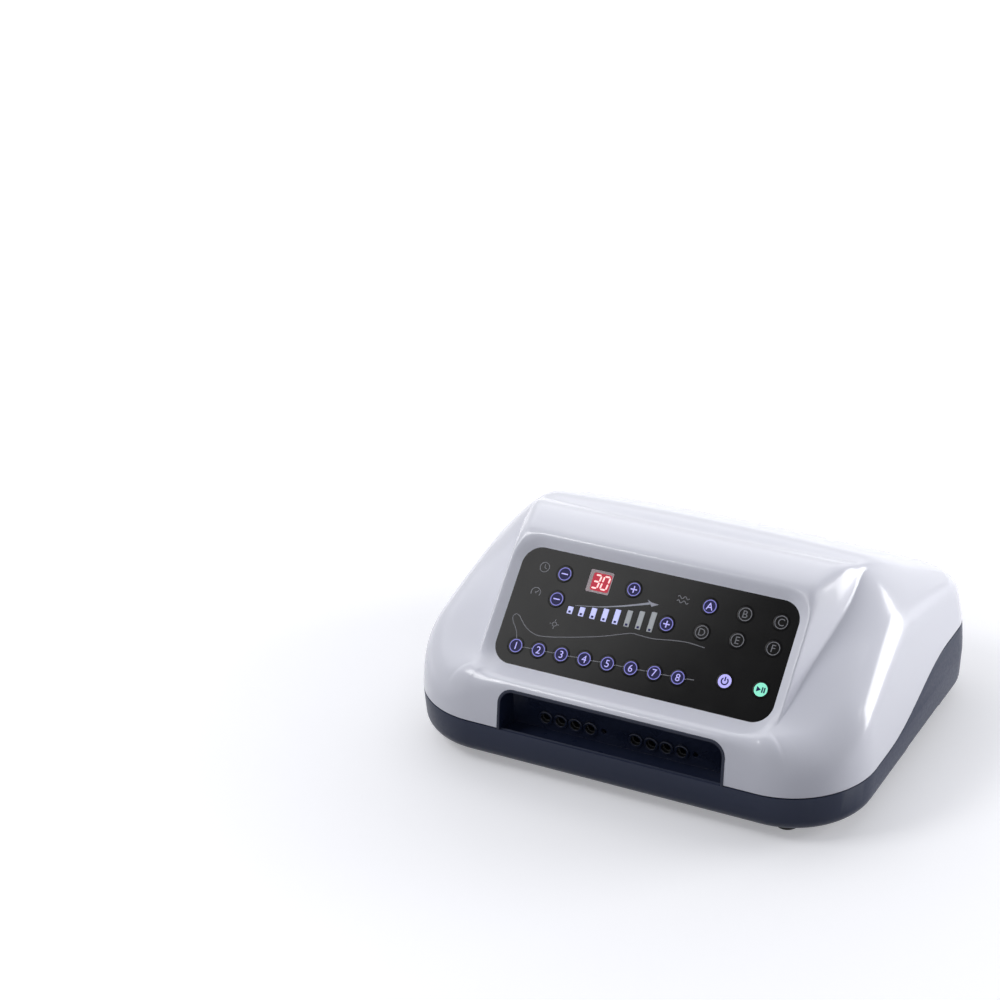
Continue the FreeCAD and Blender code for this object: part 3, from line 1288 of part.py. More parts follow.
def make_display_lens():
    """Tinted window over the digits."""
    glass = block("lens_glass", "window_x", "window_row", "-panel_sheet", "window_width",
                  "window_length", "panel_sheet")
    rim = block("lens_rim", "window_x", "window_row", "-panel_sheet - 0.5", "window_width + 2",
                "window_length + 2", 0.5)
    return on_panel("display_lens", fuse("display_lens", [glass, rim]))


def make_display_module():
    """Two-digit display behind the window, with raised segments, standing on the key board."""
    low = "-board_depth"
    face = "-panel_sheet - 1.2"
    body = block("module", "window_x", "window_row", low, "window_width - 1.4", "window_length - 1.4",
                 f"{face} - ({low})")
    items = [body]
    for digit, shift in (("tens", -3.7), ("units", 3.7)):
        for name, dx, dy, wide in SEGMENTS:
            long_side, short_side = (4.0, 0.9) if wide else (0.9, 4.4)
            items.append(block(f"segment_{digit}_{name}", f"window_x + {shift + dx}", f"window_row + {dy}",
                               f"{face} - 0.2", long_side, short_side, 0.5))
    return on_panel("display_module", fuse("display_module", items))


SEGMENTS = [
    ("top", 0, 5.2, True), ("middle", 0, 0, True), ("bottom", 0, -5.2, True),
    ("upper_left", -2.5, 2.6, False), ("upper_right", 2.5, 2.6, False),
    ("lower_left", -2.5, -2.6, False), ("lower_right", 2.5, -2.6, False),
]


def make_pressure_bars():
    """Eight light bars of growing length, flush in the sheet and reaching back to their lamps."""
    bars = []
    for index in range(8):
        length = f"bar_shortest + {index} * bar_growth"
        bars.append(block(f"bar{index}", f"bar_first_x + {index} * bar_pitch",
                          f"bar_foot + ({length}) / 2", "-board_depth", "bar_width", length,
                          "board_depth"))
    return on_panel("pressure_bars", fuse("pressure_bars", bars))


def make_panel_board():
    """Key board behind the panel, on the posts of the cover."""
    spots = board_post_spots()
    width = "panel_width + 4"
    board = block("key_board", 0, "panel_length / 2", "-board_depth - board_sheet", width,
                  "panel_length - 12", "board_sheet")
    holes = [rod(f"key_board_hole{index}", "z", x, y, "-board_depth - board_sheet - 1", 1.3,
                 "board_sheet + 2") for index, (x, y) in enumerate(spots)]
    return on_panel("panel_board", cut("panel_board", board, holes))


def make_panel_screws():
    """Screws of the key board."""
    items = []
    for index, (x, y) in enumerate(board_post_spots()):
        low = "-board_depth - board_sheet"
        head = rod(f"panel_screw_head{index}", "z", x, y, f"{low} - 1.6", 2.3, 1.6)
        shank = rod(f"panel_screw_shank{index}", "z", x, y, f"{low} - 0.5", 0.85, 5.5)
        items.append(fuse(f"panel_screw{index}", [head, shank]))
    return on_panel("panel_screws", fuse("panel_screws", items))


def make_tactile_switches():
    """A tactile switch under every key."""
    items = []
    for node, x, y in key_layout():
        body = block(f"{node}_switch", x, y, "-board_depth", "switch_side", "switch_side", "switch_height")
        plunger = rod(f"{node}_plunger", "z", x, y, "-board_depth + switch_height - 0.2", "plunger_radius",
                      "plunger_height + 0.2")
        items.append(fuse(f"{node}_switch_set", [body, plunger]))
    return on_panel("tactile_switches", fuse("tactile_switches", items))


def make_ribbon_cable():
    """Flat cable from the key board back and down to its socket on the main board."""
    tilt = math.radians(size("panel_tilt"))
    down = V(0, math.sin(tilt), -math.cos(tilt))
    along = V(0, math.cos(tilt), math.sin(tilt))
    foot = V(0, size("panel_low_y"), size("panel_low_z"))
    start = foot + along * 30 + down * (size("board_depth") + size("board_sheet"))
    _, socket_x, socket_y, _, _, socket_height = BOARD_BLOCKS[4]
    board_top = size("foot_height") + size("tray_wall") + size("standoff_height") + size("board_sheet")
    end = V(0, size("board_y") + socket_y, board_top + socket_height)
    points = [start, start + down * 16, V(0, end.y, end.z + 22), end]
    strip = bent_strip(points, 1.0, 9)
    strip = strip.extrude(V(20, 0, 0))
    strip.translate(V(size("board_x") + socket_x - 10, 0, 0))
    return piece("ribbon_cable", solid("ribbon_cable", strip))


def bent_strip(points, thickness, radius):
    """A face that follows straight runs in the YZ plane, joined by arcs."""
    left, right = [], []
    for side, store in ((1, left), (-1, right)):
        offset = offset_points(points, side * thickness / 2)
        store.extend(rounded_path(offset, radius + side * thickness / 2 * turn_sign(points)))
    ends = [Part.makeLine(left[-1].Vertexes[-1].Point, right[-1].Vertexes[-1].Point),
            Part.makeLine(right[0].Vertexes[0].Point, left[0].Vertexes[0].Point)]
    return Part.Face(Part.Wire(Part.__sortEdges__(left + right + ends)))


def turn_sign(points):
    """Which way a path that always turns the same way bends."""
    turn = (points[1] - points[0]).cross(points[2] - points[1])
    return 1 if turn.x < 0 else -1


def offset_points(points, distance):
    """Corners of a path moved sideways in the YZ plane."""
    moved = []
    for index, point in enumerate(points):
        before = (point - points[index - 1]).normalize() if index else None
        after = (points[index + 1] - point).normalize() if index + 1 < len(points) else None
        first, last = before or after, after or before
        side = (X_AXIS.cross(first) + X_AXIS.cross(last)).normalize()
        moved.append(point + side * (distance / side.dot(X_AXIS.cross(first))))
    return moved


def rounded_path(points, radius):
    """Edges along a path: straight runs joined by tangent arcs."""
    edges, start = [], points[0]
    for index in range(1, len(points) - 1):
        back = (points[index - 1] - points[index]).normalize()
        ahead = (points[index + 1] - points[index]).normalize()
        half_turn = back.getAngle(ahead) / 2
        reach = radius / math.tan(half_turn)
        middle = points[index] + (back + ahead).normalize() * (radius / math.sin(half_turn) - radius)
        entry, leave = points[index] + back * reach, points[index] + ahead * reach
        edges += [Part.makeLine(start, entry), Part.Arc(entry, middle, leave).toShape()]
        start = leave
    edges.append(Part.makeLine(start, points[-1]))
    return edges


# ---------------------------------------------------------------- assembly

OUTER = outer_shell()
make_top_cover()
make_base_tray()
make_socket_bay()
make_hose_socket("left_hose_socket", "left_ports_x")
make_hose_socket("right_hose_socket", "right_ports_x")
make_valve_manifold()
make_solenoid_valves()
make_valve_hoses()
make_pressure_sensor()
make_pump_isolators()
make_pump_frame()
make_pump_coils()
make_pump_armature()
make_pump_diaphragms()
make_pump_heads()
make_pump_outlet_tube()
make_intake_filter()
make_main_board()
make_board_components()
make_board_screws()
make_power_supply()
make_fan_frame()
make_fan_rotor()
make_fan_screws()
make_mains_inlet()
make_inlet_pins()
make_fuse_drawer()
make_mains_fuses()
make_inlet_screws()
make_rubber_feet()
make_foot_screws()
make_cover_screws()
make_control_panel()
for key_node, key_x, key_y in key_layout():
    make_key(key_node, key_x, key_y)
make_display_lens()
make_display_module()
make_pressure_bars()
make_panel_board()
make_panel_screws()
make_tactile_switches()
make_ribbon_cable()

DOC.recompute()

for thing in DOC.Objects:
    if {"Invalid", "Error"} & set(thing.State):
        raise RuntimeError(f"{thing.Name} did not build: {thing.State}")
for node, thing in PARTS.items():
    if thing.Shape.isNull() or not thing.Shape.isValid():
        raise RuntimeError(f"{node} has no valid shape")

os.makedirs("parts", exist_ok=True)
for node, thing in PARTS.items():
    thing.Shape.exportStep(f"parts/{node}.step")
print(f"{len(PARTS)} pieces")
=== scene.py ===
"""Looks of a table-top compression therapy pump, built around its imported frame.

Sizes are in millimetres until a mesh is made, which is the one place where they become metres.
"""

import json
import logging
import math
from dataclasses import dataclass
from enum import Enum

import bmesh
import bpy
import numpy as np
from mathutils import Matrix, Vector


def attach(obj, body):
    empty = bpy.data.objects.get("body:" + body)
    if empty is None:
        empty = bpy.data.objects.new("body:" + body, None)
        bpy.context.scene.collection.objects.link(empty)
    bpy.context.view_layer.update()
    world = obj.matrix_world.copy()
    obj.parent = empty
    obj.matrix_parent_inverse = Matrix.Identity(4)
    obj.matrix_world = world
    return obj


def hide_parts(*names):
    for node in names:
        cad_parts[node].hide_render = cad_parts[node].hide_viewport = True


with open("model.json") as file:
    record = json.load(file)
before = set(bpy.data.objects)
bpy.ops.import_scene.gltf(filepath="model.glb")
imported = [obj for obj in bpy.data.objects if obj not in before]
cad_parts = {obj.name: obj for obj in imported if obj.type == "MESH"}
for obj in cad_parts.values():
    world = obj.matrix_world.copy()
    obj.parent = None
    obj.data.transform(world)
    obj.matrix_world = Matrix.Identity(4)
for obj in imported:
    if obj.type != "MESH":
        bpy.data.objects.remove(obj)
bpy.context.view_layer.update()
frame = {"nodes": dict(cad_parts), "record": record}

MM = 0.001
LOG = logging.getLogger("pump")

# Angles past which an edge stays sharp, past which it gets a bevel, and below which faces are one.
SHARP_EDGE = math.radians(35)
COVER_SHARP_EDGE = math.radians(38)
BEVELLED_EDGE = math.radians(40)
FLAT_JOIN = math.radians(0.6)
# Points this close, in metres, are one, and a bevel has this many steps.
SAME_SPOT = 1e-6
ROUNDING_STEPS = 2
# Half distances between the feet, which stand at the corners of a rectangle.
FOOT_X = 117.3
FOOT_Y = 102.8
# Height in a foot at which the head of its screw seats.
FOOT_SEAT = 4.8


# ---------------------------------------------------------------- colour and nodes


def linear(hex_colour: str) -> tuple[float, float, float, float]:
    """Turns an sRGB hex colour into linear red, green, blue and alpha.

    Args:
        hex_colour: Six hex digits, with or without a leading #.

    Returns:
        The linear colour with an alpha of 1.
    """
    digits = hex_colour.lstrip("#")
    values = [int(digits[at:at + 2], 16) / 255 for at in (0, 2, 4)]
    turned = [v / 12.92 if v <= 0.04045 else ((v + 0.055) / 1.055) ** 2.4 for v in values]
    return (*turned, 1.0)


def add_node(tree: bpy.types.NodeTree, kind: str, inputs: dict | None = None, **settings) -> bpy.types.Node:
    """Adds a node with its settings and links.

    Args:
        tree: The node tree.
        kind: The node's type, such as ShaderNodeMix.
        inputs: Values or output sockets, by the input's name or number.
        settings: Attributes of the node.

    Returns:
        The new node.
    """
    node = tree.nodes.new(kind)
    for name, value in settings.items():
        setattr(node, name, value)
    for key, value in (inputs or {}).items():
        if isinstance(value, bpy.types.NodeSocket):
            tree.links.new(value, node.inputs[key])
        else:
            node.inputs[key].default_value = value
    return node


# ---------------------------------------------------------------- finishes


class Surface(Enum):
    """How a surface was made, which sets the relief that it carries."""

    POLISHED = "polished mould"
    SPARKED = "spark-eroded mould"
    BRUSHED = "brushed or drawn metal"
    WOUND = "wound wire"
    LAMINATE = "board with tracks"
    FELTED = "felt"


@dataclass(frozen=True)
class Finish:
    """A finish of one real material, with pattern sizes in millimetres."""

    name: str
    colour: str
    tint: str
    surface: Surface
    roughness: float
    spread: float = 0.05
    metallic: float = 0.0
    ior: float = 1.5
    specular: float = 0.5
    grain: float = 0.8
    relief: float = 0.02
    mottle: float = 30.0
    coat: float = 0.0
    transmission: float = 0.0
    glow: float = 0.0
    worn: float = 0.0

    def material(self) -> bpy.types.Material:
        """Builds the node tree of the finish.

        Returns:
            The material.
        """
        made = bpy.data.materials.new(self.name)
        made.use_nodes = True
        tree = made.node_tree
        tree.nodes.clear()
        place = add_node(tree, "ShaderNodeTexCoord").outputs["Object"]
        cloud = add_node(tree, "ShaderNodeTexNoise", {
            "Vector": place, "Scale": 1 / (self.mottle * MM), "Detail": 4.0, "Roughness": 0.55})
        colour = add_node(tree, "ShaderNodeMix", {
            0: cloud.outputs["Fac"], 6: linear(self.colour), 7: linear(self.tint)}, data_type="RGBA")
        tone = colour.outputs[2]
        if self.worn:
            tone = self.wear(tree, tone)
        fine = add_node(tree, "ShaderNodeTexNoise", {
            "Vector": place, "Scale": 1 / (3 * self.grain * MM), "Detail": 3.0})
        gloss = add_node(tree, "ShaderNodeMapRange", {
            "Value": fine.outputs["Fac"], "From Min": 0.3, "From Max": 0.7,
            "To Min": max(self.roughness - self.spread, 0.0), "To Max": self.roughness + self.spread})
        height = self.height(tree, place)
        bump = add_node(tree, "ShaderNodeBump", {
            "Strength": 1.0, "Distance": self.relief * MM, "Height": height})
        shader = add_node(tree, "ShaderNodeBsdfPrincipled", {
            "Base Color": tone, "Roughness": gloss.outputs["Result"], "Normal": bump.outputs["Normal"],
            "Metallic": self.metallic, "IOR": self.ior, "Specular IOR Level": self.specular,
            "Coat Weight": self.coat, "Coat Roughness": 0.04, "Transmission Weight": self.transmission,
            "Emission Strength": self.glow, "Emission Color": tone})
        add_node(tree, "ShaderNodeOutputMaterial", {"Surface": shader.outputs[0]})
        return made

    def wear(self, tree: bpy.types.NodeTree, tone: bpy.types.NodeSocket) -> bpy.types.NodeSocket:
        """Lightens the edges that hands and tables rub.

        Args:
            tree: The material's nodes.
            tone: The colour before wear.

        Returns:
            The colour with its edges rubbed.
        """
        shape = add_node(tree, "ShaderNodeNewGeometry").outputs["Pointiness"]
        edge = add_node(tree, "ShaderNodeMapRange", {
            "Value": shape, "From Min": 0.52, "From Max": 0.62, "To Min": 0.0, "To Max": self.worn})
        rubbed = add_node(tree, "ShaderNodeMix", {
            0: edge.outputs["Result"], 6: tone, 7: linear("c9ccd4")}, data_type="RGBA")
        return rubbed.outputs[2]

    def height(self, tree: bpy.types.NodeTree, place: bpy.types.NodeSocket) -> bpy.types.NodeSocket:
        """Relief of the surface, by the way it was made.

        Args:
            tree: The material's nodes.
            place: The object coordinates.

        Returns:
            The height from 0 to 1.
        """
        scale = 1 / (self.grain * MM)
        if self.surface is Surface.BRUSHED:
            stretched = add_node(tree, "ShaderNodeMapping", {"Vector": place, "Scale": (1.0, 0.06, 1.0)})
            return add_node(tree, "ShaderNodeTexNoise", {
                "Vector": stretched.outputs[0], "Scale": scale, "Detail": 2.0}).outputs["Fac"]
        if self.surface is Surface.WOUND:
            return add_node(tree, "ShaderNodeTexWave", {
                "Vector": place, "Scale": scale / 6.3, "Distortion": 0.4, "Detail": 1.0},
                bands_direction="Z").outputs["Fac"]
        if self.surface is Surface.LAMINATE:
            tracks = add_node(tree, "ShaderNodeTexBrick", {
                "Vector": place, "Scale": scale, "Mortar Size": 0.03, "Bias": -0.2})
            return tracks.outputs["Fac"]
        if self.surface is Surface.FELTED:
            return add_node(tree, "ShaderNodeTexNoise", {
                "Vector": place, "Scale": scale, "Detail": 8.0, "Distortion": 2.0}).outputs["Fac"]
        if self.surface is Surface.SPARKED:
            return add_node(tree, "ShaderNodeTexVoronoi", {
                "Vector": place, "Scale": scale, "Randomness": 1.0}).outputs["Distance"]
        return add_node(tree, "ShaderNodeTexNoise", {
            "Vector": place, "Scale": scale, "Detail": 1.0}).outputs["Fac"]


# Glossy ABS from a polished mould: a cool white with broad, clean reflections and a trace of orange peel.
WHITE_ABS = Finish("glossy_abs_white", "#e9eaf3", "#e4e5f0", Surface.POLISHED, 0.22, spread=0.03,
                   ior=1.53, grain=5.0, relief=0.012, mottle=60.0, coat=0.25)
# Navy ABS from a spark-eroded mould: satin, with a fine even grain drawn a little coarse.
NAVY_ABS = Finish("satin_abs_navy", "#242d46", "#202941", Surface.SPARKED, 0.36, ior=1.53, specular=0.25,
                  grain=0.7, relief=0.008, mottle=45.0, worn=0.1)
# The same navy ABS inside the hose bay, drawn darker as painted shade because it sees little light.
BAY_ABS_SHADED = Finish("satin_abs_dark_navy", "#20273d", "#1e253a", Surface.POLISHED, 0.3, ior=1.53, specular=0.3,
                 grain=5.0, relief=0.002, mottle=60.0)
# Hard-coated black acrylic film: deep black and smooth, with a quiet reflection.
PANEL_FILM = Finish("hard_coated_acrylic_black", "#040406", "#060608", Surface.POLISHED, 0.16, spread=0.02,
                    ior=1.49, specular=0.09, grain=6.0, relief=0.003, mottle=50.0)
# Nitrile rubber: dull black with a fine grain.
RUBBER = Finish("nitrile_rubber_black", "#151618", "#1c1d20", Surface.SPARKED, 0.72, ior=1.52, grain=0.5,
                relief=0.03, mottle=8.0, worn=0.1)
# Black nylon from a mould: semi-gloss, a little uneven.
NYLON = Finish("moulded_nylon_black", "#101114", "#17181c", Surface.SPARKED, 0.42, ior=1.53, grain=0.6,
               relief=0.02, mottle=12.0)
# Acetal: milky plastic of valves and pump parts.
ACETAL = Finish("moulded_acetal_natural", "#d9d6cc", "#cfccc1", Surface.SPARKED, 0.45, ior=1.48, grain=0.7,
                relief=0.02, mottle=20.0)
# Coil bobbins taped in dark polyester.
COIL_TAPE = Finish("polyester_tape_dark", "#2b3552", "#252e48", Surface.WOUND, 0.35, grain=0.5, relief=0.04)
# Soft PVC tube: nearly clear and slick.
CLEAR_PVC = Finish("soft_pvc_clear", "#dfe6ea", "#d3dce2", Surface.POLISHED, 0.12, ior=1.53, grain=3.0,
                   relief=0.01, mottle=12.0, transmission=0.7)
# Moulded epoxy of chips and capacitors.
EPOXY = Finish("moulded_epoxy_black", "#17181b", "#1e1f23", Surface.SPARKED, 0.5, grain=0.3, relief=0.02)
# Bright zinc on rolled steel sheet.
SHEET_STEEL = Finish("zinc_plated_steel", "#b9bcc0", "#a9adb2", Surface.BRUSHED, 0.34, metallic=1.0,
                     grain=0.4, relief=0.01, mottle=15.0)
# Nickel plated machine screws.
SCREW_STEEL = Finish("nickel_plated_steel", "#c5c6c8", "#b4b5b8", Surface.BRUSHED, 0.26, metallic=1.0,
                     grain=0.3, relief=0.008, mottle=6.0)
# Enamelled copper wire wound in layers.
COPPER = Finish("enamelled_copper_wire", "#b4622f", "#9c4f22", Surface.WOUND, 0.3, metallic=1.0, grain=0.6,
                relief=0.15, mottle=10.0)
# Brass of mains pins.
BRASS = Finish("nickel_brass_pins", "#cdb878", "#bda768", Surface.BRUSHED, 0.25, metallic=1.0, grain=0.3,
               relief=0.006, mottle=6.0)
# Needled wool felt of the intake filter.
FELT = Finish("needled_wool_felt", "#8d8f92", "#a2a4a6", Surface.FELTED, 0.9, grain=1.2, relief=0.4,
              mottle=5.0)
# Glass-fibre laminate under green solder mask, with tracks as fine ribs.
BOARD = Finish("glass_epoxy_green", "#1f5b3a", "#184b2f", Surface.LAMINATE, 0.3, grain=6.0, relief=0.04,
               mottle=14.0)
# Glass tube of a fuse.
FUSE_GLASS = Finish("soda_glass_tube", "#e6ecec", "#dbe3e3", Surface.POLISHED, 0.05, spread=0.02, ior=1.52,
                    grain=4.0, relief=0.003, transmission=0.9)
# Clear acrylic window with a frosted pink mask.
LENS = Finish("frosted_acrylic_rose", "#6d4f59", "#61454e", Surface.POLISHED, 0.22, ior=1.49, grain=3.0,
              relief=0.004, mottle=9.0)
# Pale paint round the window.
WINDOW_FRAME = Finish("screen_ink_rose_grey", "#c4b6bd", "#b9abb2", Surface.SPARKED, 0.45, grain=0.3,
                      relief=0.004, mottle=4.0, specular=0.12)
# Dark red diffusing resin behind the window.
RED_RESIN = Finish("diffusing_resin_red", "#8c1420", "#7a0f1a", Surface.SPARKED, 0.5, grain=0.4,
                   relief=0.01)
# Milky acrylic of unlit bars.
BAR_UNLIT = Finish("milky_acrylic_unlit", "#cdd0d3", "#c2c6c9", Surface.SPARKED, 0.35, ior=1.49, grain=0.4,
                   relief=0.006, mottle=6.0, specular=0.12)
# Milky acrylic of lit bars, blue-white from the lamp behind.
BAR_LIT = Finish("milky_acrylic_lit", "#cfd2ff", "#c3c6fb", Surface.SPARKED, 0.35, ior=1.49, grain=0.4,
                 relief=0.006, mottle=6.0, glow=0.45, specular=0.12)
# Silk-screened inks, a few hundredths of a millimetre thick.
INK_GREY = Finish("screen_ink_grey", "#8e8e93", "#85858b", Surface.SPARKED, 0.45, grain=0.3, relief=0.004,
                  mottle=4.0, specular=0.12)
INK_PALE = Finish("screen_ink_pale", "#b9bbc6", "#aeb0bc", Surface.SPARKED, 0.45, grain=0.3, relief=0.004,
                  mottle=4.0, specular=0.12)
# Translucent inks with lamps behind them.
INK_BLUE = Finish("backlit_ink_blue", "#8583cf", "#7a78c6", Surface.SPARKED, 0.4, grain=0.3, relief=0.004,
                  mottle=4.0, glow=0.5, specular=0.12)
INK_INDIGO = Finish("backlit_ink_indigo", "#1c1a4c", "#191743", Surface.SPARKED, 0.4, grain=0.3,
                    relief=0.004, mottle=4.0, glow=0.16, specular=0.12)
INK_LILAC = Finish("backlit_ink_lilac", "#b9b4f2", "#afa9ee", Surface.SPARKED, 0.4, grain=0.3, relief=0.004,
                   mottle=4.0, glow=0.6, specular=0.12)
INK_MINT = Finish("backlit_ink_mint", "#8fe8cb", "#82e0c1", Surface.SPARKED, 0.4, grain=0.3, relief=0.004,
                  mottle=4.0, glow=0.6, specular=0.12)
# Dark ink of the signs on filled keys and of the marks on the bars.
INK_DARK = Finish("screen_ink_dark", "#1b1a5e", "#18174f", Surface.SPARKED, 0.4, grain=0.3, relief=0.004,
                  mottle=4.0, specular=0.12)
# Lit segments of the digits, and the red haze that they cast on the window.
LED_RED = Finish("led_segment_red", "#ffd9d6", "#ffcfcc", Surface.SPARKED, 0.4, grain=0.3, relief=0.004,
                 mottle=3.0, glow=0.7, specular=0.12)
LED_GLOW = Finish("led_glow_red", "#c9384b", "#b92f42", Surface.SPARKED, 0.4, grain=0.3, relief=0.004,
                  mottle=5.0, glow=0.35, specular=0.12)

SLOT_FINISHES = {
    "cover_white": WHITE_ABS, "tray_navy": NAVY_ABS, "bay_navy": BAY_ABS_SHADED, "panel_gloss": PANEL_FILM,
    "key_gloss": PANEL_FILM, "socket_black": NYLON, "valve_plastic": ACETAL, "valve_coil": COIL_TAPE,
    "clear_hose": CLEAR_PVC, "chip_black": EPOXY, "rubber_black": RUBBER, "steel_sheet": SHEET_STEEL,
    "copper_coil": COPPER, "steel_core": SHEET_STEEL, "pump_plastic": ACETAL, "filter_felt": FELT,
    "board_green": BOARD, "steel_screw": SCREW_STEEL, "fan_black": NYLON, "inlet_black": NYLON,
    "pin_brass": BRASS, "fuse_glass": FUSE_GLASS, "lens_tint": LENS, "display_red": RED_RESIN,
    "light_bar": BAR_UNLIT, "switch_metal": SCREW_STEEL, "ribbon_grey": INK_PALE,
}
MATERIALS: dict[str, bpy.types.Material] = {}


def finish_of(finish: Finish) -> bpy.types.Material:
    """The material of a finish, made once.

    Args:
        finish: The finish.

    Returns:
        Its material.
    """
    if finish.name not in MATERIALS:
        MATERIALS[finish.name] = finish.material()
    return MATERIALS[finish.name]


# ---------------------------------------------------------------- mesh helpers


def new_piece(name: str, points: np.ndarray | list, faces: list, finish: Finish,
              smooth: bool = True) -> bpy.types.Object:
    """Makes a mesh object at the origin from points in millimetres.

    Args:
        name: The piece's name.
        points: Rows of x, y and z in millimetres.
        faces: Tuples of point numbers.
        finish: The finish it gets.
        smooth: Whether it is shaded smooth.

    Returns:
        The object.
    """
    mesh = bpy.data.meshes.new(name)
    mesh.from_pydata([tuple(point) for point in np.asarray(points, float) * MM], [], faces)
    mesh.materials.append(finish_of(finish))
    mesh.polygons.foreach_set("use_smooth", [smooth] * len(mesh.polygons))
    mesh.update()
    made = bpy.data.objects.new(name, mesh)
    bpy.context.collection.objects.link(made)
    return made


def baked(source: bpy.types.Object) -> bpy.types.Object:
    """Applies an object's modifiers, so that its mesh is plain.

    Args:
        source: The object with modifiers.

    Returns:
        The same object with its evaluated mesh.
    """
    graph = bpy.context.evaluated_depsgraph_get()
    mesh = bpy.data.meshes.new_from_object(source.evaluated_get(graph))
    old = source.data
    source.modifiers.clear()
    source.data = mesh
    name = old.name
    bpy.data.meshes.remove(old)
    mesh.name = name
    return source


def settle(piece: bpy.types.Object, body: str, nodes: tuple[str, ...] = ()) -> None:
    """Gives a finished piece its body and the nodes it stands for.

    Args:
        piece: The piece.
        body: The body it rides on.
        nodes: The CAD nodes that it replaces.
    """
    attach(piece, body)
    if nodes:
        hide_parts(*nodes)
    LOG.info("%s: %d faces on %s", piece.name, len(piece.data.polygons), body)


def carve(target: bpy.types.Object, cutter: bpy.types.Object) -> bpy.types.Object:
    """Cuts one closed piece out of another and deletes the cutter.

    Args:
        target: The piece that stays.
        cutter: The piece that is cut away.

    Returns:
        The target.
    """
    step = target.modifiers.new("cut", "BOOLEAN")
    step.operation = "DIFFERENCE"
    step.solver = "MANIFOLD"
    step.object = cutter
    baked(target)
    bpy.data.objects.remove(cutter)
    return target


def face_outward(piece: bpy.types.Object) -> bpy.types.Object:
    """Turns all faces of a closed mesh outward.

    Args:
        piece: The piece.

    Returns:
        The same piece.
    """
    work = bmesh.new()
    work.from_mesh(piece.data)
    bmesh.ops.recalc_face_normals(work, faces=work.faces)
    work.to_mesh(piece.data)
    work.free()
    return piece


def loop_faces(rows: int, columns: int) -> list[tuple[int, int, int, int]]:
    """Quads of a grid whose columns close on themselves.

    Args:
        rows: How many rings.
        columns: How many points in a ring.

    Returns:
        The quads, with point numbers row by row.
    """
    quads = []
    for row in range(rows - 1):
        for column in range(columns):
            ahead = (column + 1) % columns
            quads.append((row * columns + column, row * columns + ahead,
                          (row + 1) * columns + ahead, (row + 1) * columns + column))
    return quads


def softened(node: str, finish: Finish, bevel: float) -> bpy.types.Object:
    """Copies a machined or moulded node as a clean mesh with rounded edges.

    Args:
        node: The CAD node.
        finish: The finish it gets.
        bevel: Width of the rounding in millimetres.

    Returns:
        The copy, which replaces nothing yet.
    """
    mesh = frame["nodes"][node].data.copy()
    mesh.name = f"{node}_dressed"
    mesh.materials.clear()
    mesh.materials.append(finish_of(finish))
    work = bmesh.new()
    work.from_mesh(mesh)
    bmesh.ops.remove_doubles(work, verts=work.verts, dist=SAME_SPOT)
    bmesh.ops.dissolve_limit(work, angle_limit=FLAT_JOIN, verts=work.verts, edges=work.edges)
    work.to_mesh(mesh)
    work.free()
    made = bpy.data.objects.new(mesh.name, mesh)
    bpy.context.collection.objects.link(made)
    mesh.polygons.foreach_set("use_smooth", [True] * len(mesh.polygons))
    step = made.modifiers.new("edge", "BEVEL")
    step.width = bevel * MM
    step.segments = ROUNDING_STEPS
    step.limit_method = "ANGLE"
    step.angle_limit = BEVELLED_EDGE
    step.harden_normals = False
    baked(made)
    made.data.set_sharp_from_angle(angle=SHARP_EDGE)
    return made


# ---------------------------------------------------------------- form of the casing


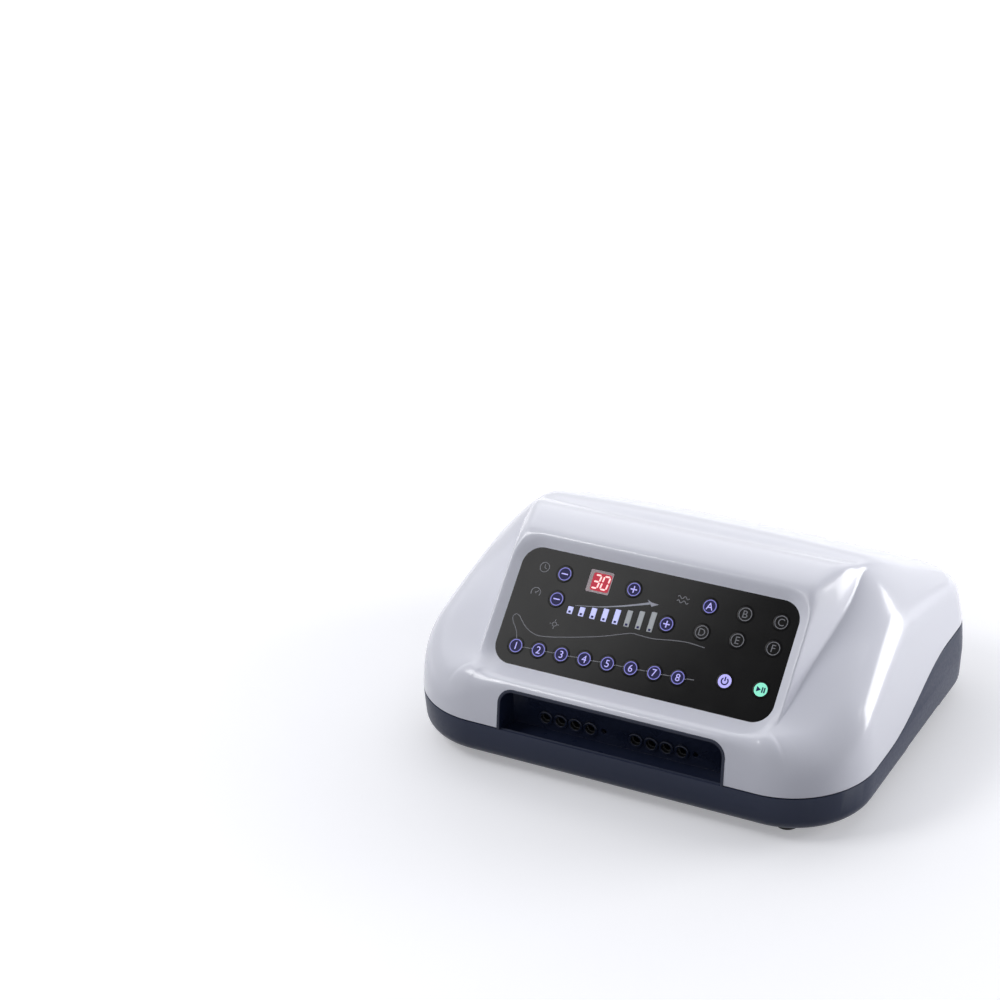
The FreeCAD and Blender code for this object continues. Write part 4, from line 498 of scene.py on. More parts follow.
@dataclass(frozen=True)
class Casing:
    """Outer form of the casing: its walls, its seam, its top and the housing of the key panel."""

    width: float = 330.0
    front: float = 128.3
    rear: float = 128.6
    front_corner: float = 59.0
    rear_corner: float = 46.0
    foot_height: float = 7.8
    seam_low: float = 35.2
    seam_high: float = 56.0
    rise_start: float = -48.0
    rise_end: float = 62.0
    seam_gap: float = 0.6
    crest: float = 143.0
    panel_width: float = 204.4
    panel_length: float = 84.1
    panel_corner: float = 14.0
    panel_low_y: float = -99.8
    panel_low_z: float = 69.3
    tilt: float = math.radians(44.5)
    bezel_rise: float = 4.5
    side_slope: float = 1.65
    brow_slope: float = 1.5
    ledge_slope: float = 1.0

    @property
    def walls(self) -> np.ndarray:
        """Level, four insets and two corner reductions of each outline of the walls, from the floor up."""
        span = self.crest - self.seam_low
        return np.array([
            (self.foot_height, 2.4, 2.0, 2.4, 2.4, 5, 4),
            (self.seam_low, 0, 0, 0, 0, 0, 0),
            (self.seam_low + 0.415 * span, 9.3, 4.8, 4.8, 7.4, 5, 12),
            (self.seam_low + 0.833 * span, 24.3, 17.2, 14.7, 23, 11, 20),
            (self.seam_low + 1.05 * span, 33.5, 26, 20.5, 34, 14, 24),
        ])

    def insets(self, level: np.ndarray) -> np.ndarray:
        """Insets of the wall at given levels: straight below the seam and one smooth cubic above.

        Args:
            level: Heights.

        Returns:
            Six values for each height.
        """
        rows = self.walls
        share = ((level - rows[0, 0]) / (rows[1, 0] - rows[0, 0]))[..., None]
        low = rows[0, 1:] + (rows[1, 1:] - rows[0, 1:]) * share
        high = np.zeros(level.shape + (6,))
        for at in range(1, 5):
            weight = np.ones(level.shape)
            for other in range(1, 5):
                if other != at:
                    weight = weight * (level - rows[other, 0]) / (rows[at, 0] - rows[other, 0])
            high += weight[..., None] * rows[at, 1:]
        return np.where((level < self.seam_low)[..., None], low, high)

    def outline(self, along: np.ndarray, level: np.ndarray, inset: float | np.ndarray = 0.0) -> tuple:
        """Plan position on the wall's outline.

        Args:
            along: Place round the outline from -5 to 5, with 0 at the middle of the front.
            level: Height of the outline.
            inset: Distance inward from the wall.

        Returns:
            Arrays of x and y.
        """
        rows = self.insets(level)
        near, far = -self.front + rows[..., 0] + inset, self.rear - rows[..., 1] - inset
        half_near = self.width / 2 - rows[..., 2] - inset
        half_far = self.width / 2 - rows[..., 3] - inset
        r_near = np.maximum(self.front_corner - rows[..., 4] - inset, 1)
        r_far = np.maximum(self.rear_corner - rows[..., 5] - inset, 1)
        return rounded(np.abs(along), np.sign(along), near, far, half_near, half_far, r_near, r_far)

    def seam(self, y: np.ndarray) -> np.ndarray:
        """Height of the seam, which rises in an S from front to rear.

        Args:
            y: Places along the depth.

        Returns:
            Heights.
        """
        t = np.linspace(0, 1, 400)
        third = (self.rise_end - self.rise_start) * 0.38
        poles_y = (self.rise_start, self.rise_start + third, self.rise_end - third, self.rise_end)
        poles_z = (self.seam_low, self.seam_low, self.seam_high, self.seam_high)
        weights = ((1 - t) ** 3, 3 * t * (1 - t) ** 2, 3 * t * t * (1 - t), t ** 3)
        curve_y = sum(w * p for w, p in zip(weights, poles_y))
        curve_z = sum(w * p for w, p in zip(weights, poles_z))
        return np.interp(y, curve_y, curve_z)

    def on_panel(self, x: np.ndarray, up: np.ndarray, out: np.ndarray) -> np.ndarray:
        """Turns panel coordinates into casing coordinates.

        Args:
            x: Place to the right.
            up: Place up the slope from the panel's lower edge.
            out: Height above the panel's face.

        Returns:
            Points with a last axis of three.
        """
        cosine, sine = math.cos(self.tilt), math.sin(self.tilt)
        y = self.panel_low_y + cosine * up - sine * out
        z = self.panel_low_z + sine * up + cosine * out
        return np.stack(np.broadcast_arrays(x, y, z), axis=-1)

    def rim(self, along: np.ndarray, margin: float) -> tuple:
        """The panel's rounded outline, grown by a margin, in panel coordinates.

        Args:
            along: Place round the outline from -5 to 5, with 0 at the middle of the lower edge.
            margin: How far outside the outline.

        Returns:
            Arrays of x and of the place up the slope.
        """
        half = np.full(along.shape, self.panel_width / 2 + margin)
        radius = np.full(along.shape, self.panel_corner + margin)
        low, high = np.full(along.shape, -margin), np.full(along.shape, self.panel_length + margin)
        return rounded(np.abs(along), np.sign(along), low, high, half, half, radius, radius)


def rounded(along: np.ndarray, side: np.ndarray, near: np.ndarray, far: np.ndarray, half_near: np.ndarray,
            half_far: np.ndarray, r_near: np.ndarray, r_far: np.ndarray) -> tuple:
    """Point on one half of a trapezoid with rounded corners.

    Args:
        along: 0 to 1 is half the near edge, then a corner, the side, a corner and half the far edge.
        side: -1 for the left half and 1 for the right half.
        near: Place of the near edge.
        far: Place of the far edge.
        half_near: Half width at the near edge.
        half_far: Half width at the far edge.
        r_near: Radius of the near corners.
        r_far: Radius of the far corners.

    Returns:
        Arrays of x and y.
    """
    run = np.hypot(half_far - half_near, far - near)
    lean_x, lean_y = (half_far - half_near) / run, (far - near) / run
    side_turn = np.arctan2(-lean_x, lean_y)
    reach_near = r_near / np.tan(np.arccos(np.clip(-lean_x, -1, 1)) / 2)
    reach_far = r_far / np.tan(np.arccos(np.clip(lean_x, -1, 1)) / 2)
    mid_near, mid_far = half_near - reach_near, half_far - reach_far
    part = along - np.floor(np.clip(along, 0, 4.999999))
    turn_near = -math.pi / 2 + part * (side_turn + math.pi / 2)
    turn_far = side_turn + part * (math.pi / 2 - side_turn)
    start_x, start_y = mid_near + r_near * np.cos(side_turn), near + r_near + r_near * np.sin(side_turn)
    end_x, end_y = mid_far + r_far * np.cos(side_turn), far - r_far + r_far * np.sin(side_turn)
    stage = np.floor(np.clip(along, 0, 4.999999)).astype(int)
    xs = [part * mid_near, mid_near + r_near * np.cos(turn_near), start_x + part * (end_x - start_x),
          mid_far + r_far * np.cos(turn_far), (1 - part) * mid_far]
    ys = [near + 0 * part, near + r_near + r_near * np.sin(turn_near), start_y + part * (end_y - start_y),
          far - r_far + r_far * np.sin(turn_far), far + 0 * part]
    x = np.choose(stage, np.broadcast_arrays(*xs))
    y = np.choose(stage, np.broadcast_arrays(*ys))
    return x * np.where(side < 0, -1, 1), y


CASING = Casing()


def spline_weights(count: int, places: np.ndarray) -> np.ndarray:
    """Weights of the poles of a clamped uniform cubic spline.

    Args:
        count: How many poles.
        places: Places from 0 to 1.

    Returns:
        One row of weights for each place.
    """
    inner = count - 4
    marks = np.concatenate([np.zeros(4), np.arange(1, inner + 1), np.full(4, inner + 1)]).astype(float)
    at = np.clip(places * (inner + 1), 0, inner + 1 - 1e-9)
    table = ((marks[:-1] <= at[:, None]) & (at[:, None] < marks[1:])).astype(float)
    for degree in range(1, 4):
        rows = len(marks) - 1 - degree
        left_span = marks[degree:degree + rows] - marks[:rows]
        right_span = marks[degree + 1:] - marks[1:rows + 1]
        left_span = np.where(left_span == 0, 1, left_span)
        right_span = np.where(right_span == 0, 1, right_span)
        left = (at[:, None] - marks[:rows]) / left_span * table[:, :rows]
        right = (marks[degree + 1:] - at[:, None]) / right_span * table[:, 1:rows + 1]
        table = left + right
    return table


def soft_min(first: np.ndarray, second: np.ndarray, blend: float) -> np.ndarray:
    """The lower of two heights, with the edge between them rounded.

    Args:
        first: Heights.
        second: Heights.
        blend: Difference in height over which the edge is rounded.

    Returns:
        The rounded lower height.
    """
    near = np.maximum(blend - np.abs(first - second), 0) / blend
    return np.minimum(first, second) - near ** 3 * blend / 6


@dataclass(frozen=True)
class Top:
    """Top of the casing as a height over the plan: the hood, the panel housing and its recess."""

    casing: Casing = CASING
    past_shoulder: float = 26.0
    side_flare: float = 0.47
    flank_start: float = 5.0
    flank_lean: float = 0.6
    flank_spread: float = 0.36
    flank_reach: float = 17.5
    flank_pivot: float = -35.0
    flank_drop: float = 4.0
    limit_slope: float = 4.0
    tail_slope: float = 3.0
    deck_run: float = 5.5
    edge_blend: tuple[float, float] = (4.5, 15.0)
    edge_span: tuple[float, float] = (-62.0, -12.0)
    crease_blend: tuple[float, float] = (3.0, 24.0)
    crease_span: tuple[float, float] = (-5.0, 50.0)
    ridge_radius: float = 1.5

    # How far along the depth, the height in the middle, how far the flat middle reaches past the
    # panel, its edge height, the inset of the shoulder from the seam, and the shoulder's height.
    STATIONS = (
        (-0.085, 60, 4, 60, 9, 50), (0.025, 69.5, 4, 69.5, 13, 60), (0.071, 71.5, 5, 71.7, 11.7, 65),
        (0.126, 75, 8, 76.3, 9.7, 71.2), (0.193, 85, 11, 86.5, 6.9, 80.8), (0.259, 95, 13, 97.2, 6.9, 86.5),
        (0.325, 103, 15, 105.3, 7.8, 92.2), (0.384, 117, 17, 113, 8.7, 95.4),
        (0.442, 130, 19, 121.5, 9.6, 97.7), (0.501, 140, 20.5, 130.5, 10.5, 99.6),
        (0.556, 141.5, 20, 137, 11.2, 100.4), (0.626, 136.5, 19.5, 133, 12.5, 100.6),
        (0.735, 122.5, 21.5, 118.5, 14.6, 98.2), (0.852, 105, 24.5, 101.2, 15.8, 92.6),
        (0.938, 92.4, 26, 89.4, 16.5, 86), (1.067, 72.6, 26, 70.5, 17, 69),
    )

    def station_poles(self) -> np.ndarray:
        """Poles of the hood's sheet.

        Returns:
            An array of stations, poles across from left to right, and x, y and z.
        """
        net = []
        depth = self.casing.front + self.casing.rear
        for along, middle, past, edge, inset, shoulder in self.STATIONS:
            y = -self.casing.front + along * depth
            foot, outer = self.casing.panel_width / 2 + past, self.casing.width / 2 - inset
            fall = (shoulder - edge) / (outer - foot)
            crown = (middle - edge) * 0.15
            right = [
                (foot * 0.5, middle - crown), (foot - 14, edge + crown * 1.4), (foot - 3, edge + crown * 0.4),
                (foot + (outer - foot) / 3, edge + (shoulder - edge) * 0.3),
                (foot + (outer - foot) * 2 / 3, edge + (shoulder - edge) * 0.64), (outer, shoulder),
                (outer + self.past_shoulder, shoulder + fall * self.past_shoulder),
            ]
            row = [(-x, y, z) for x, z in reversed(right)] + [(0.0, y, middle)]
            net.append(row + [(x, y, z) for x, z in right])
        return np.array(net, float)

    def hood_grid(self) -> tuple:
        """Heights of the hood on an even grid over the plan.

        Returns:
            The grid's x values, y values and heights.
        """
        net = self.station_poles()
        lengthwise = spline_weights(len(net), np.linspace(0, 1, 900))
        across = spline_weights(net.shape[1], np.linspace(0, 1, 1600))
        y_of = lengthwise @ net[:, 0, 1]
        xs, ys = np.arange(-176, 176.1, 2.0), np.arange(-138, 139, 2.0)
        turns = np.interp(ys, y_of, np.linspace(0, 1, 900))
        rows = spline_weights(len(net), turns)
        heights = np.empty((len(ys), len(xs)))
        for at, row in enumerate(rows):
            section = np.tensordot(row, net, axes=(0, 0))
            line = across @ section
            heights[at] = np.interp(xs, line[:, 0], line[:, 2])
        return xs, ys, heights

    def deck_line(self) -> tuple:
        """Side view of the panel housing, from its low front to its tail under the hood.

        Returns:
            Arrays of y and z.
        """
        case = self.casing
        low = case.on_panel(0, -40.0, case.bezel_rise)[1:]
        bend = case.on_panel(0, case.panel_length + self.deck_run, case.bezel_rise)[1:]
        slope = np.array([math.cos(case.tilt), math.sin(case.tilt)])
        y = bend[0]
        poles = np.array([bend, bend + slope * 7.5, (y + 22, case.crest), (y + 36, case.crest - 0.6),
                          (y + 50, case.crest - 6), (y + 63, case.crest - 15), (y + 79, case.crest - 31),
                          (y + 95, case.crest - 52)])
        roll = spline_weights(len(poles), np.linspace(0, 1, 3000)) @ poles
        line = np.vstack([low, roll])
        return line[:, 0], line[:, 1]


class TopSurface:
    """Evaluates the height of the casing's top over the plan."""

    # The funnel's level is found by halving the span from the panel up to this height.
    FUNNEL_HIGHEST = 60.0
    HALVINGS = 26

    def __init__(self, top: Top) -> None:
        """Prepares the hood's grid and the housing's side view.

        Args:
            top: The sizes of the top.
        """
        self.top = top
        self.case = top.casing
        self.xs, self.ys, self.grid = top.hood_grid()
        self.deck_y, self.deck_z = top.deck_line()

    def hood(self, x: np.ndarray, y: np.ndarray) -> np.ndarray:
        """Height of the hood, read from its grid by cubic steps.

        Args:
            x: Places to the right.
            y: Places to the rear.

        Returns:
            Heights.
        """
        step = self.xs[1] - self.xs[0]
        at_x = np.clip((x - self.xs[0]) / step, 1, len(self.xs) - 3 - 1e-6)
        at_y = np.clip((y - self.ys[0]) / step, 1, len(self.ys) - 3 - 1e-6)
        low_x, low_y = np.floor(at_x).astype(int), np.floor(at_y).astype(int)
        weights = []
        for part in (at_x - low_x, at_y - low_y):
            weights.append((
                (1 - part) ** 3 / 6, (3 * part ** 3 - 6 * part ** 2 + 4) / 6,
                (-3 * part ** 3 + 3 * part ** 2 + 3 * part + 1) / 6, part ** 3 / 6))
        total = 0
        for b in range(4):
            row = 0
            for a in range(4):
                row = row + weights[0][a] * self.grid[low_y + b - 1, low_x + a - 1]
            total = total + weights[1][b] * row
        return total

    def housing(self, x: np.ndarray, y: np.ndarray) -> np.ndarray:
        """Height of the panel housing: its deck, trimmed by two pairs of leaning sides.

        Args:
            x: Places to the right.
            y: Places to the rear.

        Returns:
            Heights, far below the hood outside the housing.
        """
        top, case = self.top, self.case
        across = np.abs(x)
        cosine, sine = math.cos(case.tilt), math.sin(case.tilt)
        deck = np.interp(y, self.deck_y, self.deck_z)
        deck = np.where(y > self.deck_y[-1], self.deck_z[-1] - top.tail_slope * (y - self.deck_y[-1]), deck)
        half = case.panel_width / 2 + case.bezel_rise * case.side_slope
        lift = case.bezel_rise + (half - across) / top.side_flare
        side = case.panel_low_z + (lift + sine * (y - case.panel_low_y)) / cosine
        reach = case.panel_width / 2 + top.flank_start + top.flank_spread * (y - top.flank_pivot)
        flank = case.crest - top.flank_drop + (reach - across) / top.flank_lean
        limit = case.crest + (case.panel_width / 2 + top.flank_reach - across) * top.limit_slope
        blend = self.blend(top.edge_blend, y, *top.edge_span)
        sides = soft_min(soft_min(side, flank, top.edge_blend[0]), limit, 2 * blend)
        return soft_min(deck, sides, blend)

    def blend(self, sizes: tuple[float, float], y: np.ndarray, start: float, end: float) -> np.ndarray:
        """Size of a blend, which grows towards the rear.

        Args:
            sizes: The blend in front and behind.
            y: Places to the rear.
            start: Where it starts to grow.
            end: Where it is full.

        Returns:
            Sizes.
        """
        share = np.clip((y - start) / (end - start), 0, 1)
        return sizes[0] + (sizes[1] - sizes[0]) * share * share * (3 - 2 * share)

    def body(self, x: np.ndarray, y: np.ndarray) -> np.ndarray:
        """Height of the hood and the housing together.

        Args:
            x: Places to the right.
            y: Places to the rear.

        Returns:
            Heights.
        """
        crease = self.blend(self.top.crease_blend, y, *self.top.crease_span)
        return -soft_min(-self.hood(x, y), -self.housing(x, y), crease)

    def recess(self, x: np.ndarray, y: np.ndarray) -> np.ndarray:
        """Height of the funnel round the panel, and of the panel's plane inside it.

        Args:
            x: Places to the right.
            y: Places to the rear.

        Returns:
            Heights.
        """
        case = self.case
        cosine, sine = math.cos(case.tilt), math.sin(case.tilt)
        low, high = np.zeros(np.shape(x)), np.full(np.shape(x), self.FUNNEL_HIGHEST)
        for _ in range(self.HALVINGS):
            middle = (low + high) / 2
            up = ((y - case.panel_low_y) + middle * sine) / cosine
            outside = self.outside(np.abs(x), up, middle) > 0
            low, high = np.where(outside, middle, low), np.where(outside, high, middle)
        level = (low + high) / 2
        up = ((y - case.panel_low_y) + level * sine) / cosine
        return case.panel_low_z + sine * up + cosine * level

    def outside(self, across: np.ndarray, up: np.ndarray, level: np.ndarray) -> np.ndarray:
        """How far a point lies outside the funnel's outline at a level above the panel.

        Args:
            across: Distance from the middle.
            up: Place up the slope.
            level: Height above the panel's face.

        Returns:
            Distances, negative inside.
        """
        case = self.case
        radius = case.panel_corner + case.brow_slope * level
        out_x = across - (case.panel_width / 2 + case.side_slope * level - radius)
        low, high = -case.ledge_slope * level + radius, case.panel_length + case.brow_slope * level - radius
        out_y = np.maximum(low - up, up - high)
        corner = np.hypot(np.maximum(out_x, 0), np.maximum(out_y, 0))
        return corner + np.minimum(np.maximum(out_x, out_y), 0) - radius

    def steepness(self, height, x: np.ndarray, y: np.ndarray) -> np.ndarray:
        """Cosine of a surface's slope.

        Args:
            height: Function of x and y.
            x: Places to the right.
            y: Places to the rear.

        Returns:
            Cosines.
        """
        step = 0.05
        rise_x = (height(x + step, y) - height(x - step, y)) / (2 * step)
        rise_y = (height(x, y + step) - height(x, y - step)) / (2 * step)
        return 1 / np.sqrt(1 + rise_x ** 2 + rise_y ** 2)

    def height(self, x: np.ndarray, y: np.ndarray) -> np.ndarray:
        """Height of the finished top, with a round ridge where the funnel cuts the body.

        Args:
            x: Places to the right.
            y: Places to the rear.

        Returns:
            Heights.
        """
        body, funnel = self.body(x, y), self.recess(x, y)
        across_body, across_funnel = self.steepness(self.body, x, y), self.steepness(self.recess, x, y)
        radius = self.top.ridge_radius
        first, second = radius - across_body * body, radius - across_funnel * funnel
        square = across_body ** 2 + across_funnel ** 2
        middle = across_body * first + across_funnel * second
        inside = np.maximum(middle ** 2 - square * (first ** 2 + second ** 2 - radius ** 2), 0)
        rounded_height = (-middle + np.sqrt(inside)) / square
        depth_body = across_body * (body - rounded_height)
        depth_funnel = across_funnel * (funnel - rounded_height)
        within = (depth_body < radius) & (depth_funnel < radius)
        return np.where(within, rounded_height, np.minimum(body, funnel))


# ---------------------------------------------------------------- the cover


@dataclass
class Cover:
    """White cover: one closed shell with a rolled seam edge and a seat for the panel."""

    casing: Casing = CASING
    top: Top = Top()
    wall: float = 2.8
    softness: float = 24.0
    rear_softness: float = 13.0
    side_columns: float = 1.9
    lip: float = 6.0
    bay_columns: float = 0.74
    bay_fade: float = 0.5
    edge_roll: float = 0.5
    seat: float = 2.0
    ledge: float = 5.0
    ledge_sheet: float = 2.4
    wall_rings: int = 14
    shoulder_rings: int = 30
    top_rings: int = 84
    even_rounds: int = 20
    first_level: float = 75.0
    level_rounds: int = 60
    level_share: float = 0.6
    wall_share: float = 0.72
    top_share: float = 0.55
    probe: float = 0.5
    handle_limits: tuple[float, float] = (0.25, 1.1)
    handle_parts: tuple[float, float, float] = (0, 0.33, 0.66)
    dense_reach: float = 14.0
    dense_share: float = 0.7
    dense_steps: int = 420
    loose_steps: int = 360
    bend_effort: float = 11.0
    ceiling_rings: int = 22
    inner_wall_rings: int = 7
    inner_slack: float = 0.9
    inner_drop: float = 4.0
    ledge_growth: float = 1.6
    bay_half: float = 83.2
    bay_top: float = 65.2
    bay_corner: float = 11.0

    def columns(self) -> np.ndarray:
        """Places round the outline, denser where it turns.

        Returns:
            Places from -5 to 5.
        """
        counts = (58, 66, 52, 50, 46)
        half = np.concatenate([np.arange(count) / count + at for at, count in enumerate(counts)])
        return np.concatenate([half, [5.0 - 1e-9], -half[:0:-1]])

    def outer_rings(self, surface: TopSurface) -> np.ndarray:
        """Rings of the outer face from the seam to the panel's rim.

        Args:
            surface: The top's height.

        Returns:
            An array of rings, columns and x, y and z.
        """
        along = self.columns()
        case = self.casing
        rim_x, rim_up = case.rim(along, 0.0)
        rim = case.on_panel(rim_x, rim_up, 0.0)
        shoulder = self.shoulder(surface, rim)
        start = shoulder[0, :, 2]
        _, seam_y = case.outline(along, np.full(along.shape, case.seam_low))
        foot = case.seam(seam_y) + case.seam_gap / 2
        walls = []
        for share in np.linspace(0, 1, self.wall_rings + 1)[:-1]:
            at_level = foot + self.edge_roll + (start - foot - self.edge_roll) * share
            x, y = case.outline(along, at_level)
            walls.append(np.stack([x, y, at_level], axis=-1))
        return np.concatenate([np.array(walls), shoulder, self.top_path(surface, shoulder[-1], rim)])

    def shoulder(self, surface: TopSurface, rim: np.ndarray) -> np.ndarray:
        """Rings of the wide rounding between the wall and the top, tighter over the hose bay.

        Args:
            surface: The top's height.
            rim: The panel's rim.

        Returns:
            An array of rings, columns and x, y and z.
        """
        along, case = self.columns(), self.casing
        level = np.full(along.shape, self.first_level)
        for _ in range(self.level_rounds):
            x, y = case.outline(along, level)
            level = level + self.level_share * (surface.height(x, y) - level)
        foot = case.seam(y) + case.seam_gap / 2 + self.edge_roll
        away = np.clip((np.abs(along) - self.bay_columns) / self.bay_fade, 0, 1)
        rear = np.clip(np.abs(along) - self.side_columns, 0, 1)
        full = self.softness + (self.rear_softness - self.softness) * rear * rear * (3 - 2 * rear)
        reach = self.lip + (full - self.lip) * away * away * (3 - 2 * away)
        low = level - np.minimum(reach, self.wall_share * (level - foot))
        first = np.stack([*case.outline(along, low), low], axis=-1)
        raised = np.stack([*case.outline(along, low + self.probe), low + self.probe], axis=-1)
        run = np.stack([rim[:, 0] - x, rim[:, 1] - y], axis=-1)
        length = np.linalg.norm(run, axis=-1, keepdims=True)
        run /= length
        inward = np.minimum(reach[:, None], self.top_share * length)
        last = np.stack([x, y], axis=-1) + run * inward
        back = last - run * self.probe
        last = np.column_stack([last, surface.height(*last.T)])
        back = np.column_stack([back, surface.height(*back.T)])
        up, out = raised - first, back - last
        up /= np.linalg.norm(up, axis=-1, keepdims=True)
        out /= np.linalg.norm(out, axis=-1, keepdims=True)
        gap = last - first
        shared = (up * out).sum(-1)
        square = np.maximum(1 - shared ** 2, 0.05)
        rise = ((gap * up).sum(-1) - shared * (gap * out).sum(-1)) / square
        fall = (shared * (gap * up).sum(-1) - (gap * out).sum(-1)) / square
        span = np.linalg.norm(gap, axis=-1)
        least, most = self.handle_limits
        rise, fall = (np.clip(handle, least * span, most * span) for handle in (rise, fall))
        poles = [first + up * (rise * part)[:, None] for part in self.handle_parts]
        poles += [last + out * (fall * part)[:, None] for part in reversed(self.handle_parts)]
        turns = np.linspace(0, 1, self.shoulder_rings)
        rings = 0
        for at, pole in enumerate(poles):
            weight = math.comb(5, at) * turns ** at * (1 - turns) ** (5 - at)
            rings = rings + weight[:, None, None] * pole[None]
        return rings

    def top_path(self, surface: TopSurface, start: np.ndarray, rim: np.ndarray) -> np.ndarray:
        """Rings across the top, gathered where it bends.

        Args:
            surface: The top's height.
            start: The inner edge of the shoulder.
            rim: The panel's rim.

        Returns:
            The rings after the first, ending on the rim.
        """
        run = np.hypot(*(start[:, :2] - rim[:, :2]).T)[:, None]
        close = np.minimum(self.dense_reach, run * self.dense_share)
        far = run - (run - close) * np.linspace(0, 1, self.loose_steps)[None, :-1]
        near = close * (1 - np.linspace(0, 1, self.dense_steps))[None, :]
        left = np.concatenate([far, near], axis=1) / run
        x = rim[:, :1] + (start[:, :1] - rim[:, :1]) * left
        y = rim[:, 1:2] + (start[:, 1:2] - rim[:, 1:2]) * left
        z = surface.height(x, y)
        z[:, -1] = rim[:, 2]
        points = np.stack([x, y, z], axis=-1)
        steps = np.diff(points, axis=1)
        lengths = np.linalg.norm(steps, axis=-1)
        ways = steps / lengths[..., None]
        bend = np.zeros(x.shape)
        dots = np.clip((ways[:, 1:] * ways[:, :-1]).sum(axis=-1), -1, 1)
        bend[:, 1:-1] = np.arccos(dots)
        effort = lengths + self.bend_effort * (bend[:, 1:] + bend[:, :-1]) / 2
        spent = np.concatenate([np.zeros((len(x), 1)), np.cumsum(effort, axis=1)], axis=1)
        spent /= spent[:, -1:]
        for _ in range(self.even_rounds):
            spent = (np.roll(spent, 1, 0) + 2 * spent + np.roll(spent, -1, 0)) / 4
        rings = np.empty((self.top_rings, len(x), 3))
        shares = np.linspace(0, 1, self.top_rings + 1)[1:]
        for column in range(len(x)):
            wanted = shares * spent[column, -1]
            for axis in range(3):
                rings[:, column, axis] = np.interp(wanted, spent[column], points[column, :, axis])
        return rings

    def inner_rings(self, surface: TopSurface, outer: np.ndarray) -> np.ndarray:
        """Rings of the seat, the ledge, the inner face and the rolled seam edge.

        Args:
            surface: The top's height.
            outer: The rings of the outer face.

        Returns:
            Rings that lead from the rim back to the seam.
        """
        along, case = self.columns(), self.casing
        under = -self.seat - self.ledge_sheet
        rings = []
        for margin, out in ((0.0, -self.seat), (-self.ledge, -self.seat), (-self.ledge, under),
                            (self.ledge_growth * self.wall, under)):
            x, up = case.rim(along, margin)
            rings.append(case.on_panel(x, up, out))
        grown = np.array(rings[-1])
        rim = outer[-1, :, :2]
        spans = np.linalg.norm(outer[self.wall_rings:, :, :2] - rim, axis=-1)[::-1]
        heights = outer[self.wall_rings:, :, 2][::-1]
        start_x, start_y = case.outline(along, outer[self.wall_rings, :, 2], self.wall)
        for share in np.linspace(0.04, 1, self.ceiling_rings):
            x = grown[:, 0] + (start_x - grown[:, 0]) * share
            y = grown[:, 1] + (start_y - grown[:, 1]) * share
            slack = self.wall / surface.steepness(surface.body, x, y)
            funnel = surface.recess(x, y) - self.wall / surface.steepness(surface.recess, x, y)
            span = np.hypot(x - rim[:, 0], y - rim[:, 1]) + self.wall
            over = np.array([np.interp(*trio) for trio in zip(span, spans.T, heights.T)])
            ceiling = np.minimum(surface.body(x, y) - slack, funnel)
            z = np.minimum(ceiling, over - self.inner_slack * self.wall)
            lowest = outer[self.wall_rings, :, 2] - self.inner_drop
            rings.append(np.stack([x, y, np.maximum(z, lowest)], axis=-1))
        top = rings[-1][:, 2]
        _, seam_y = case.outline(along, np.full(along.shape, case.seam_low))
        foot = case.seam(seam_y) + case.seam_gap / 2
        for share in np.linspace(0.15, 1, self.inner_wall_rings):
            level = top + (foot + self.edge_roll - top) * share
            x, y = case.outline(along, level, self.wall)
            rings.append(np.stack([x, y, level], axis=-1))
        for inset in (self.wall - self.edge_roll, self.edge_roll):
            x, y = case.outline(along, foot, inset)
            rings.append(np.stack([x, y, foot], axis=-1))
        return np.array(rings)

    def build(self) -> bpy.types.Object:
        """Builds the shell and cuts the opening of the hose bay.

        Returns:
            The cover.
        """
        surface = TopSurface(self.top)
        outer = self.outer_rings(surface)
        rings = np.concatenate([outer, self.inner_rings(surface, outer)])
        count, columns = rings.shape[:2]
        faces = loop_faces(count, columns)
        last = (count - 1) * columns
        for column in range(columns):
            ahead = (column + 1) % columns
            faces.append((last + column, last + ahead, ahead, column))
        made = new_piece("cover_shell", rings.reshape(-1, 3), faces, WHITE_ABS)
        carve(made, self.bay_cutter())
        made.data.set_sharp_from_angle(angle=COVER_SHARP_EDGE)
        return made

    def bay_cutter(self) -> bpy.types.Object:
        """The block that the hose bay takes out of the cover.

        Returns:
            A closed block with rounded upper corners.
        """
        outline = [(-self.bay_half, 20.0), (self.bay_half, 20.0)]
        for side in (1, -1):
            for turn in np.linspace(0, math.pi / 2, 13)[::side]:
                x = side * (self.bay_half - self.bay_corner + self.bay_corner * math.cos(turn))
                outline.append((x, self.bay_top - self.bay_corner + self.bay_corner * math.sin(turn)))
        count = len(outline)
        points = [(x, y, z) for y in (-150.0, -100.0) for x, z in outline]
        faces = [tuple(range(count)), tuple(range(2 * count - 1, count - 1, -1))]
        for at in range(count):
            ahead = (at + 1) % count
            faces.append((at, at + count, ahead + count, ahead))
        return face_outward(new_piece("bay_cutter", points, faces, WHITE_ABS, smooth=False))

    def dress(self) -> None:
        """Builds the cover and puts it in the place of its node."""
        settle(self.build(), "housing", ("top_cover",))


# ---------------------------------------------------------------- gathered meshes


